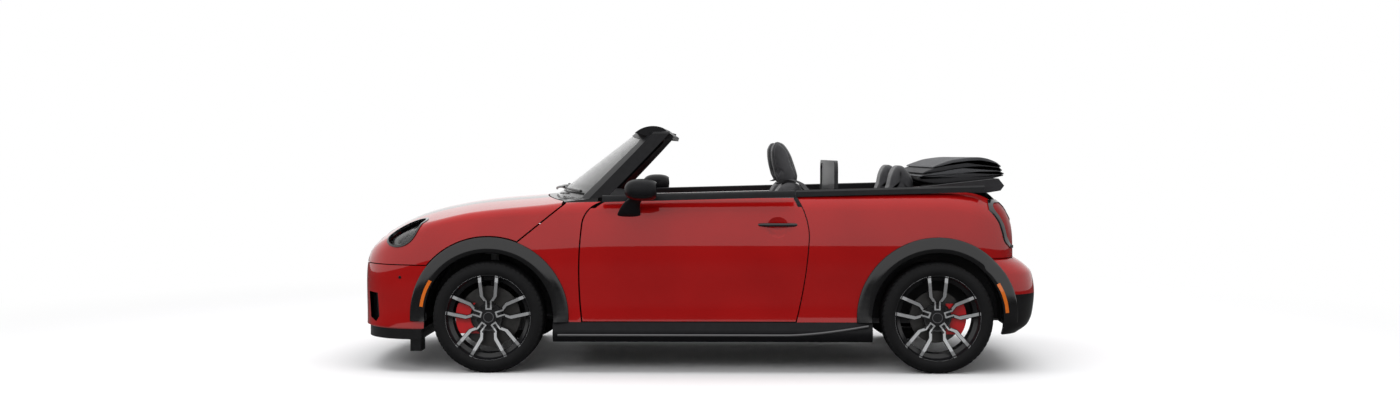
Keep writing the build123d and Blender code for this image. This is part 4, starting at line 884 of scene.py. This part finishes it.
def side_y(x, z):
    """Half width of the painted side at (x, z), off a fine table of the sections, or of
    the rear bumper where that stands further out."""
    x, z = np.asarray(x, float), np.asarray(z, float)
    i = np.clip((x - SIDE_X[0]) / (SIDE_X[1] - SIDE_X[0]), 0, len(SIDE_X) - 1.001)
    j = np.clip((z - SIDE_Z[0]) / (SIDE_Z[1] - SIDE_Z[0]), 0, len(SIDE_Z) - 1.001)
    i0, j0 = i.astype(int), j.astype(int)
    a, b = i - i0, j - j0
    t = side_y_table
    body = ((1 - a) * (1 - b) * t[i0, j0] + a * (1 - b) * t[i0 + 1, j0]
            + (1 - a) * b * t[i0, j0 + 1] + a * b * t[i0 + 1, j0 + 1])
    back, half = bumper_line_at(np.clip(z, bumper_foot, bumper_line))
    run = np.clip(x - (rx(back - .022) - BUMPER_CORNER), 0, BUMPER_CORNER)
    bumper = half - BUMPER_CORNER + np.sqrt(BUMPER_CORNER**2 - run**2)
    blend = np.clip((x - BUMPER_START) / .150, 0, 1) * np.clip((bumper_line - z) / .03, 0, 1)
    return np.where(blend > 0, np.maximum(body, body + (bumper - body) * blend), body)


paint_faces(bumper_piece, TRIM, lambda face: (
    fx(-.722) < face.center.x < fx(-.634) and .262 < face.center.z < .442
    and abs(face.center.y) < side_y(face.center.x, face.center.z) - .004))


def on_side(side, x, z, lift):
    """Points over x and z that stand lift off the painted side."""
    return grid(x, side * (side_y(x, z) + lift), z)


# ------------------------------------------------------------------ wheel arch claddings
ARCH_PROFILE = np.array((
    (.4485, -.006), (.448, .003), (.446, .008), (.440, .011), (.424, .0145), (.404, .0190),
    (.390, .0215), (.383, .0220), (.376, .0205), (.366, .0170), (.3615, .0135), (.360, .008),
    (.360, -.045), (.364, -.045), (.366, -.006)))
for which, axle, side in wheels:
    r = ARCH_PROFILE[:, 0][None]
    start = np.arcsin((sill_top - wheel_height) / r)
    angle = start + np.linspace(0, 1, 120)[:, None] * (pi - 2 * start)
    band = on_side(side, axle + r * np.cos(angle), wheel_height + r * np.sin(angle),
                   ARCH_PROFILE[:, 1][None])
    make_piece(f"arch_cladding_{which}", closed_tube(band), "body", TRIM, 40, "arch_trims")

# ------------------------------------------------------------------ tyres
tyre_radius, tyre_half = .309, .1075
tread_half = .079
tread_crown = .013 / .081        # drop per square of the distance off the middle
rim_seat, bead = .234, .0955
groove_depth = .0065
blocks_round = 63


def fade(distance, start, width):
    """1 near zero distance, falling to 0 over width."""
    return np.clip(start - np.abs(distance) / width, 0, 1)


def tyre(axle, side):
    """A low tyre: a profile of bulging walls, round shoulders and a crowned tread, turned
    about the wheel; three round grooves and slanted shoulder cuts are sunk into it."""
    wall = arc_points((-bead, rim_seat), (-tyre_half, .268), (-tyre_half + .010, .293), 10)
    half = wall + arc_points(wall[-1], (-tyre_half + .014, .303), (-tyre_half + .026, .3075),
                             6)[1:]
    tread = [(a, tyre_radius - tread_crown * a * a) for a in
             np.linspace(-tread_half, tread_half, 53)]
    line = np.array(half + tread + [(-a, r) for a, r in reversed(half)]
                    + [(bead - .004, rim_seat - .001), (-bead + .004, rim_seat - .001)])
    count = 8 * blocks_round
    theta = circle(count)[:, None]
    offset, radius = line[:, 0][None], line[:, 1][None]
    out = np.abs(offset)
    groove = np.maximum(fade(offset, 1.35, .0048), fade(out - .042, 1.35, .0048))
    phase = (theta * blocks_round / (2 * pi) + out * 14) % 1
    cut = fade(phase - .5, 1.6, .09) * (out > .056) * .8
    fine = fade((phase * 2) % 1 - .5, 1.4, .07) * ((out > .008) & (out < .034)) * .45
    depth = groove_depth * np.maximum(np.maximum(groove, cut), fine)
    r = radius - depth * ((out < .097) & (radius > .29))
    points = grid(axle + r * np.cos(theta), side * (wheel_plane + offset),
                  wheel_height + r * np.sin(theta))
    return mesh_of(points, grid_faces(count, len(line), True))


for which, axle, side in wheels:
    make_piece(f"treaded_tyre_{which}", tyre(axle, side), f"wheel_{which}", RUBBER, 50,
               f"tyre_{which}")

# ------------------------------------------------------------------ lamps
# Columns: piece, depths of its two skins, outer and inner radius, body, material, node.
LAMP_LAYERS = (
    ("headlamp_lens", .014, .018, .1235, 0, "body", LAMP_CLEAR, "headlamps"),
    ("headlamp_bezel", -.004, .008, .1245, .113, "bonnet", GLOSS_BLACK, None),
    ("headlamp_floor", .034, .038, .1225, 0, "body", GLOSS_BLACK, None),
    ("headlamp_light_ring", .022, .034, .104, .092, "body", LIGHT_GUIDE, None))
t = np.linspace(0, pi / 2, 14)
DOME = [(-.030, 0), (-.030, .038), *zip(.030 * np.sin(t), .038 * np.cos(t))][:-1] + [(.030, 0)]
for name, side in hands:
    for part, top, bottom, outer, inner, body, material, node in LAMP_LAYERS:
        cuts = [body_form(bottom)] + ([lamp_bore(side, inner)] if inner else [])
        layer = carve(body_form(top), ("keep", lamp_bore(side, outer, .110)), ("cut", cuts))
        make_piece(f"{part}_{name}", layer, body, material, node=node)
    projector = turned(DOME, lamp_centre * (1, side, 1), lamp_axis(side))
    make_piece(f"headlamp_projector_{name}", projector, "body", REFLECTOR)
    frame_ring = carve(body_form(-.004), ("keep", tail_lamp_bore(side, -.0005)),
                       ("cut", [tail_lamp_bore(side, -.016), body_form(.012)]))
    make_piece(f"tail_lamp_frame_{name}", frame_ring, "body", GLOSS_BLACK)
    lens = carve(body_form(), ("keep", tail_lamp_bore(side, -.0165)),
                 ("cut", body_form(panel_wall)))
    make_piece(f"tail_lamp_lens_{name}", lens, "body", LAMP_RED, node="tail_lamps")

# ------------------------------------------------------------------ soft pieces
def loop(points, count):
    """A closed smooth curve through a few corners: Catmull-Rom pieces, evenly split."""
    p = np.asarray(points, float)
    n = len(p)
    t = np.linspace(0, n, count, endpoint=False)
    i = t.astype(int)
    u = (t - i)[:, None]
    a, b, c, d = p[(i - 1) % n], p[i % n], p[(i + 1) % n], p[(i + 2) % n]
    return .5 * (2 * b + (c - a) * u + (2 * a - 5 * b + 4 * c - d) * u**2
                 + (3 * b - a - 3 * c + d) * u**3)


def outward(line):
    """Unit normals of a closed curve in a plane, pointing out of it."""
    tangent = np.roll(line, -1, 0) - np.roll(line, 1, 0)
    normal = np.stack([tangent[:, 1], -tangent[:, 0]], 1)
    normal /= np.linalg.norm(normal, axis=1, keepdims=True)
    area = np.sum(line[:, 0] * np.roll(line[:, 1], -1) - np.roll(line[:, 0], -1) * line[:, 1])
    return normal * np.sign(area)


def pillow(corners, middle, half, round_by, crown, count=96, stations=33, channels=()):
    """A padded block: a smooth closed outline in side view, carried across the car from
    -half to half about middle.  It shrinks by round_by at both ends along a quarter
    ellipse, and swells by crown in the middle; channels sink narrow seams into it."""
    line = loop(corners, count)
    s = np.sin(np.linspace(-pi / 2, pi / 2, stations))
    edge = np.clip((np.abs(s) * half - (half - round_by)) / round_by, 0, 1)
    shrink = round_by * (1 - np.sqrt(np.clip(1 - edge**2, 0, 1)))
    move = (crown * (1 - s**2) - shrink)[:, None]
    for place, width, depth in channels:
        move = move - depth * np.exp(-((s * half - place) / width)**2)[:, None]
    ring = line[None] + outward(line)[None] * move[..., None]
    return closed_tube(grid(ring[..., 0], (middle + s * half)[:, None], ring[..., 1]))


def tube(path, radius):
    """A round welt along an open path of points."""
    tangent = np.gradient(path, axis=0)
    tangent /= np.linalg.norm(tangent, axis=1, keepdims=True)
    up = np.where(np.abs(tangent[:, 2:]) > .9, (1.0, 0, 0), (0, 0, 1.0))
    a = np.cross(tangent, up)
    a /= np.linalg.norm(a, axis=1, keepdims=True)
    b = np.cross(tangent, a)
    t = circle(8)[:, None]
    return closed_tube(path[:, None] + radius * (a[:, None] * np.cos(t)
                                                 + b[:, None] * np.sin(t)))


def vertex_table(mesh, what="co"):
    """The mesh's points, or the normals at them, as rows of x, y, z."""
    rows = np.empty(3 * len(mesh.vertices))
    if what == "co":
        mesh.vertices.foreach_get("co", rows)
    else:
        mesh.vertex_normals.foreach_get("vector", rows)
    return rows.reshape(-1, 3)


COVER_VOXEL = .006
COVER_PRESSURE = 4.0
COVER_TRAVEL = .009
COVER_FRAMES = 20


def stuffed(mesh):
    """A cover blown up over its foam: the cloth solver presses an evenly meshed copy from
    inside without gravity, and no point moves more than COVER_TRAVEL from its start."""
    scene = bpy.context.scene
    piece = placed("cover", mesh)
    even = piece.modifiers.new("even", "REMESH")
    even.mode, even.voxel_size = "VOXEL", COVER_VOXEL
    piece.data = baked(piece)
    piece.modifiers.clear()
    start = vertex_table(piece.data)
    cloth = piece.modifiers.new("cover", "CLOTH")
    cloth.settings.quality = 4
    cloth.settings.use_pressure = True
    cloth.settings.uniform_pressure_force = COVER_PRESSURE
    cloth.settings.effector_weights.gravity = 0
    cloth.collision_settings.use_collision = False
    cloth.point_cache.frame_start, cloth.point_cache.frame_end = 1, COVER_FRAMES
    for frame in range(1, COVER_FRAMES + 1):
        scene.frame_set(frame)
    pressed = baked(piece)
    bpy.data.objects.remove(piece)
    scene.frame_set(1)
    move = vertex_table(pressed) - start
    move -= move.mean(0)
    reach = np.linalg.norm(move, axis=1, keepdims=True)
    move *= np.minimum(1, COVER_TRAVEL / np.maximum(reach, 1e-9))
    pressed.vertices.foreach_set("co", (start + move).ravel())
    piece = placed("cover", pressed)
    piece.modifiers.new("finer", "SUBSURF").levels = 1
    result = baked(piece)
    bpy.data.objects.remove(piece)
    return result


def sewn(mesh, channels):
    """Sinks narrow sewn channels (place across, width, depth) into a cover."""
    points = vertex_table(mesh)
    depth = sum(d * np.exp(-((points[:, 1] - place) / width)**2)
                for place, width, d in channels)
    mesh.vertices.foreach_set("co", (points - vertex_table(mesh, "normal")
                                     * depth[:, None]).ravel())
    mesh.update()
    return mesh


def soft(name, mesh, node, material):
    """A padded piece in place of a node."""
    make_piece(name, mesh, "body", material, 60, node)


seat_offset = .365
cushion = at(fx, [(1.05, .33), (1.035, .39), (1.06, .44), (1.12, .455), (1.30, .450),
                  (1.48, .438), (1.56, .42), (1.56, .34), (1.40, .300), (1.20, .300)])
back = at(fx, [(1.50, .42), (1.545, .58), (1.575, .78), (1.605, .96), (1.635, 1.040),
               (1.690, 1.062), (1.748, 1.045), (1.776, .94), (1.790, .80), (1.782, .60),
               (1.74, .42), (1.62, .36)])
rest = at(fx, [(1.634, 1.050), (1.610, 1.120), (1.596, 1.190), (1.594, 1.255),
               (1.610, 1.292), (1.640, 1.286), (1.682, 1.232), (1.712, 1.160),
               (1.738, 1.060), (1.70, 1.030)])
# Columns: piece, outline, half width, rounding, and its two channels' place, width, depth.
SEAT_PADS = (
    ("seat_cushion", cushion, .180, .030, (.095, .006, .010)),
    ("seat_back", back, .185, .035, (.090, .006, .010)),
    ("seat_headrest", rest, .123, .040, (.100, .004, .003)))
for part, outline, half, round_by, (place, width, depth) in SEAT_PADS:
    channels = [(hand * place, width, depth) for hand in sides]
    cover = sewn(stuffed(pillow(outline, 0, half, round_by, -.005)), channels)
    for name, side in hands:
        mesh = cover.copy()
        mesh.transform(Matrix.Translation((0, side * seat_offset, 0)))
        soft(f"{part}_{name}", mesh, "front_seats", LEATHER)
bolster = at(fx, [(1.08, .34), (1.09, .46), (1.16, .500), (1.40, .500), (1.50, .555),
                  (1.538, .70), (1.550, .86), (1.574, .95), (1.630, .988), (1.700, .972),
                  (1.738, .88), (1.755, .70), (1.735, .48), (1.66, .37), (1.40, .335)])
for name, side in hands:
    for hand in sides:
        soft(f"seat_bolster_{name}_{'inner' if hand * side < 0 else 'outer'}",
             pillow(bolster, side * seat_offset + hand * .205, .038, .034, .002, stations=21),
             "front_seats", LEATHER_LIGHT)
bench = at(rx, [(-.705, .36), (-.715, .42), (-.69, .468), (-.60, .474), (-.40, .462),
                (-.350, .50), (-.325, .60), (-.285, .80), (-.262, .95), (-.235, .985),
                (-.175, .985), (-.145, .95), (-.145, .70), (-.150, .49), (-.30, .483),
                (-.355, .47), (-.37, .36), (-.55, .345)])
soft("rear_bench", pillow(bench, 0, .555, .04, .0, count=140, stations=61, channels=[
    (-.09, .006, .010), (.09, .006, .010), (-.44, .006, .008), (.44, .006, .008)]),
    "rear_seat", LEATHER)
rest = at(rx, [(-.222, .985), (-.216, 1.045), (-.202, 1.105), (-.176, 1.146), (-.140, 1.146),
               (-.102, 1.105), (-.078, 1.050), (-.094, .985)])
for name, side in hands:
    soft(f"rear_headrest_{name}", pillow(rest, side * .290, .119, .04, .0),
         "rear_seat", LEATHER)

# folded top: four folds between the tray and the stack's top line, each a flattened roll
# of canvas that starts further back than the one under it
STACK_X = np.array((-.082, -.060, .040, .136, .252, .369, .410))
STACK_TOP = np.array((1.106, 1.124, 1.161, 1.188, 1.199, 1.170, 1.114))
STACK_FOOT = np.array((1.084, 1.062, 1.050, 1.058, 1.069, 1.083, 1.092))
# the second and fourth folds use the lighter canvas copy, a painted highlight for the light those
# folds catch
FOLDS = ((.00, .34, -.080, .404, CANVAS), (.33, .58, -.070, .407, CANVAS_PAINTED_HIGHLIGHT),
         (.57, .84, -.052, .396, CANVAS), (.83, 1.0, .004, .388, CANVAS_PAINTED_HIGHLIGHT))
for number, (low, high, start, stop, cloth) in enumerate(FOLDS):
    u = (1 - np.cos(np.linspace(0, pi, 20))) / 2
    x = start + (stop - start) * u
    foot, top = smooth(x, STACK_X, STACK_FOOT), smooth(x, STACK_X, STACK_TOP)
    middle, half = foot + (top - foot) * (low + high) / 2, (top - foot) * (high - low) / 2
    half = half * (1 - np.abs(2 * u - 1) ** 6) ** .5 + .0008
    edge = np.stack([rx(x), middle + half], 1), np.stack([rx(x), middle - half], 1)[-2:0:-1]
    mesh = pillow(np.concatenate(edge), 0, .598, .006, .0, count=120, stations=41)
    soft(f"folded_top_{number + 1}", mesh, "soft_top", cloth)

# ------------------------------------------------------------------ mirrors and handles
def rounded_body(middle, reach, power):
    """A superellipsoid: |x/a|^p + |y/b|^p + |z/c|^p = 1 about a middle."""
    def bent(value):
        return np.sign(value) * np.abs(value) ** (2 / power)

    v = np.linspace(-pi / 2, pi / 2, 40)[1:-1, None]
    u = circle(64)[None]
    return closed_tube(grid(middle[0] + reach[0] * bent(np.sin(v)),
                            middle[1] + reach[1] * bent(np.cos(v)) * bent(np.cos(u)),
                            middle[2] + reach[2] * bent(np.cos(v)) * bent(np.sin(u))))


def limb(stations):
    """Flat-lying ellipses (x, y, z, half length, half width) joined smoothly upwards."""
    stations = np.array(stations)
    count = len(stations)
    t = np.linspace(0, count - 1, 8 * count)
    x, y, z, long, broad = (smooth(t, np.arange(count), column)[:, None]
                            for column in stations.T)
    a = circle(40)
    return closed_tube(grid(x + long * np.cos(a), y + broad * np.sin(a), z))


MIRROR_FACE = Finish("mirror_face", (.75, .77, .79), .02, Metallic=1.0).material
mirror_y = .936
handle_half = .1205
BELT_BAR = np.array(((.000, .000), (.000, .032), (.006, .0362), (.014, .0370),
                     (.024, .0335), (.032, .0265), (.038, .013), (.0405, .0)))


def mirror_plate(side, half, low, high, radius, x0, x1):
    """A rounded plate across the mirror's head from x0 to x1."""
    y = side * mirror_y
    return prism(rounded(y - half, y + half, low, high, radius), 0, fx(x0), fx(x1))


for name, side in hands:
    body, node = f"door_{name}", f"door_trim_{name}"
    head = rounded_body((fx(.862), side * mirror_y, 1.021), (.096, .090, .061), 2.5)
    head = carve(head, ("cut", slab(fx(.942), fx(1.1), .8, 1.2, 1.2)),
                 ("cut", mirror_plate(side, .060, .984, 1.058, .028, .932, 1.0)))
    paint_faces(make_piece(f"mirror_head_{name}", head, body, SATIN, 30, node), TRIM,
                lambda face: face.center.z < .990)
    make_piece(f"mirror_glass_{name}",
               mirror_plate(side, .0595, .9845, 1.0575, .0275, .930, .9340), body, MIRROR_FACE)
    y0 = side * float(side_y(fx(.78), .900))
    foot = limb([(fx(x), y0 + side * out, z, long, broad) for x, out, z, long, broad in (
        (.782, -.006, .868, .066, .012), (.784, .006, .885, .064, .020),
        (.790, .022, .915, .056, .024), (.806, .044, .950, .046, .026),
        (.832, .066, .975, .042, .030), (.846, .078, .985, .040, .032))])
    make_piece(f"mirror_foot_{name}", foot, body, SATIN, 60)
    x = np.linspace(fx(1.484), fx(1.724), 40)[:, None]
    along = (x - handle_middle) / handle_half
    size = np.sqrt(np.clip(1 - np.abs(along) ** 5, 0, 1)) * .9 + .1
    a = circle(24)[None]
    grip_y = np.minimum(side_y(x, handle_height) + .016 - .020 * np.abs(along) ** 4, .866)
    grip = grid(x, side * (grip_y - .007 + .007 * size * np.cos(a)),
                handle_height + .0105 * size * np.sin(a))
    make_piece(f"door_handle_{name}", closed_tube(grip), body, GLOSS_BLACK, 60)
    x = np.linspace(fx(.636), fx(1.701), 90)[:, None]
    bar = grid(x, side * (cabin_half + .071 + BELT_BAR[:, 0]), belt(x) + BELT_BAR[:, 1] + .0005)
    make_piece(f"belt_strip_{name}", closed_tube(bar), body, SATIN, 30)

# ------------------------------------------------------------------ small things outside
def side_plate(name, outline, lift, depth, side, material):
    """A small closed plate on the side: a fan of shrunk outlines that follow the surface,
    standing lift off it, with its back depth further in."""
    line = np.asarray(outline, float)
    middle = line.mean(0)
    rings = [on_side(side, *(middle + (line - middle) * scale).T, off)
             for scale, off in [(1, -depth), (1, lift * .6), (.93, lift)]
             + [(s, lift) for s in np.linspace(.8, .05, 14)]]
    make_piece(name, closed_tube(np.array(rings)), "body", material, 40)


def arch_patch(axle, a0, a1):
    """The piece of an arch cladding's face between two angles in degrees."""
    outer, inner = .392, .372
    t = np.radians(np.linspace(a0, a1, 16))
    return [(axle + r * cos(a), wheel_height + r * sin(a))
            for r, turns in ((outer, t), (inner, t[::-1])) for a in turns]


def dot(x, z, radius):
    """A circle in side view."""
    return list(zip(x + radius * np.cos(circle(24)), z + radius * np.sin(circle(24))))


SILL_STRIP = np.array(((-.006, .0), (.004, .001), (.006, .004), (.006, .012), (.004, .015),
                       (-.006, .016)))
for name, side in hands:
    for end, axle, a0, a1 in (("front", front_axle, 147, 172), ("rear", rear_axle, 4, 31)):
        side_plate(f"{end}_marker_{name}", arch_patch(axle, a0, a1), .0245, -.010, side, AMBER)
    side_plate(f"front_sensor_{name}", dot(fx(-.505), .527, .009), .0015, .004, side, TRIM)
    x = np.linspace(fx(.388), rx(-.385), 80)[:, None]
    rise = np.clip((x - fx(1.66)) / (rx(-.385) - fx(1.66)), 0, 1) ** 1.6 * .052
    strip = grid(x, side * (.8555 + SILL_STRIP[:, 0]), .204 + rise + SILL_STRIP[:, 1])
    make_piece(f"sill_strip_{name}", closed_tube(strip), "body", ACCENT, 40)

plate = prism(rounded(-.152, .152, .712, .862, .014), 0, rx(.4395), rx(.4425))
make_piece("blank_plate", plate, "boot_lid", moulded("plate_grey", (.55, .56, .57)))

arm_line = at(fx, [(.337, .950), (.307, .926), (.432, .930)]) + arc_points(
    (fx(.432), .930), (fx(.446), .944), (fx(.432), .958), 10)[1:]
for name, side in hands:
    y = side * .600
    make_piece(f"bonnet_arm_{name}", prism(arm_line, 1, y - .004, y + .004), "bonnet", UNDER)

# wipers: an arm and a blade each, lying along the foot of the glass
u = 1 - np.linspace(0, 1, 24)
for number, (y0, y1) in enumerate(((.55, -.02), (-.02, -.60))):
    y = np.linspace(y0, y1, 24)
    bow = 1 - (y / .735) ** 2
    x, z = fx(.578) - .248 * bow, .997 + .027 * bow
    arm = np.stack([x + .004 - .04 * u, y, z + .014 - .03 * u ** 2], 1)[:14]
    for part, path, radius in (("blade", np.stack([x, y, z], 1), .008), ("arm", arm, .007)):
        make_piece(f"wiper_{part}_{number + 1}", tube(path, radius), "body", TRIM, 60)

# seat belts: a flat band from each side panel over the seat's shoulder
BELT_WEB = woven("belt_webbing", (.022, .022, .024), .002)
BELT_PATH = np.array(((1.90, .700, .985), (1.84, .690, 1.000), (1.79, .640, 1.010),
                      (1.75, .560, 1.050), (1.69, .500, 1.070), (1.62, .480, 1.045)))
x, y, z = (smooth(np.linspace(0, 5, 40), np.arange(6), column)[:, None]
           for column in BELT_PATH.T)
BAND = np.array(((-.0138, -.001), (.0138, -.001), (.0138, .001), (-.0138, .001)))
for name, side in hands:
    band = grid(fx(x) + BAND[:, 0], side * y, z + BAND[:, 1])
    make_piece(f"seat_belt_{name}", closed_tube(band), "body", BELT_WEB, 60)

# ------------------------------------------------------------------ floor, lights, camera
SENSOR = 36.0
FOCAL_PIXELS = 1450.0
WIDTH, HEIGHT = 1400, 400
EYE = Vector((fx(1.300), -8.862, 1.212))
AXIS_PIXEL = (722.0, 155.0)      # where the level line of sight straight across the car falls

camera_data = bpy.data.cameras.new("camera")
camera_data.sensor_width = SENSOR
camera_data.lens = FOCAL_PIXELS / WIDTH * SENSOR
camera = placed("camera", camera_data)
camera.location = EYE
sight = Vector(((WIDTH / 2 - AXIS_PIXEL[0]) / FOCAL_PIXELS, 1,
                -(HEIGHT / 2 - AXIS_PIXEL[1]) / FOCAL_PIXELS))
camera.rotation_euler = sight.to_track_quat("-Z", "Y").to_euler()
bpy.context.scene.camera = camera


def floor():
    """A wide pale ground that goes over into plain white far from the car, and that
    lights and mirrors the car less than the camera sees."""
    finish = Finish("pale_floor", (.86, .86, .87), .9)
    shiny, camera_ray = finish.ray("Glossy"), finish.ray("Camera")
    dim = finish.blend(shiny, (.30, .30, .31), (.07, .07, .07))
    finish.set("Base Color", finish.blend(camera_ray, dim, (.90, .90, .91)))
    x, y, z = finish.place()
    far = (x * x + y * y).root().ramp(3.2, 6.5)
    seen = camera_ray.at_least(finish.ray("Transmission")).at_least(shiny)
    white, grey = (finish.node("Emission", inputs={"Color": (1, 1, 1, 1), "Strength": power})
                   for power in (1.0, .07))
    beyond = finish.node("MixShader", inputs={0: shiny, 1: white, 2: grey})
    near = Wire(finish, finish.shader.outputs[0])
    finish.feed(finish.tree.nodes["Material Output"].inputs["Surface"], finish.node(
        "MixShader", inputs={0: far * seen, 1: near, 2: beyond}))
    mesh = bpy.data.meshes.new("floor")
    mesh.from_pydata([(-40, -40, 0), (40, -40, 0), (40, 40, 0), (-40, 40, 0)], [],
                     [(0, 1, 2, 3)])
    mesh.materials.append(finish.material)
    placed("floor", mesh)


def area_lamp(name, place, target, size, power):
    """A soft lamp that looks at a target and doesn't show in reflections."""
    data = bpy.data.lights.new(name, "AREA")
    data.shape, (data.size, data.size_y), data.energy = "RECTANGLE", size, power
    lamp = placed(name, data)
    lamp.location = place
    lamp.visible_glossy = False
    lamp.rotation_euler = (Vector(target) - Vector(place)).to_track_quat("-Z", "Y").to_euler()


floor()
area_lamp("overhead", (0, -.5, 6.0), (0, 0, 0), (9, 5), 330)
area_lamp("front_side", (-3, -8, 4.5), (0, 0, .6), (7, 3), 260)
area_lamp("back_side", (2, 8, 4.5), (0, 0, .8), (7, 3), 220)

world = bpy.data.worlds.new("studio")
bpy.context.scene.world = world
studio = Nodes(world)
dull, white = (studio.node("Background", inputs={"Color": (1, 1, 1, 1), "Strength": power})
               for power in (.55, 1.0))
seen = studio.ray("Camera").at_least(studio.ray("Glossy")).at_least(studio.ray("Transmission"))
studio.feed(studio.tree.nodes["World Output"].inputs["Surface"], studio.node(
    "MixShader", inputs={0: seen, 1: dull, 2: white}))
bpy.context.scene.view_settings.view_transform = "Standard"
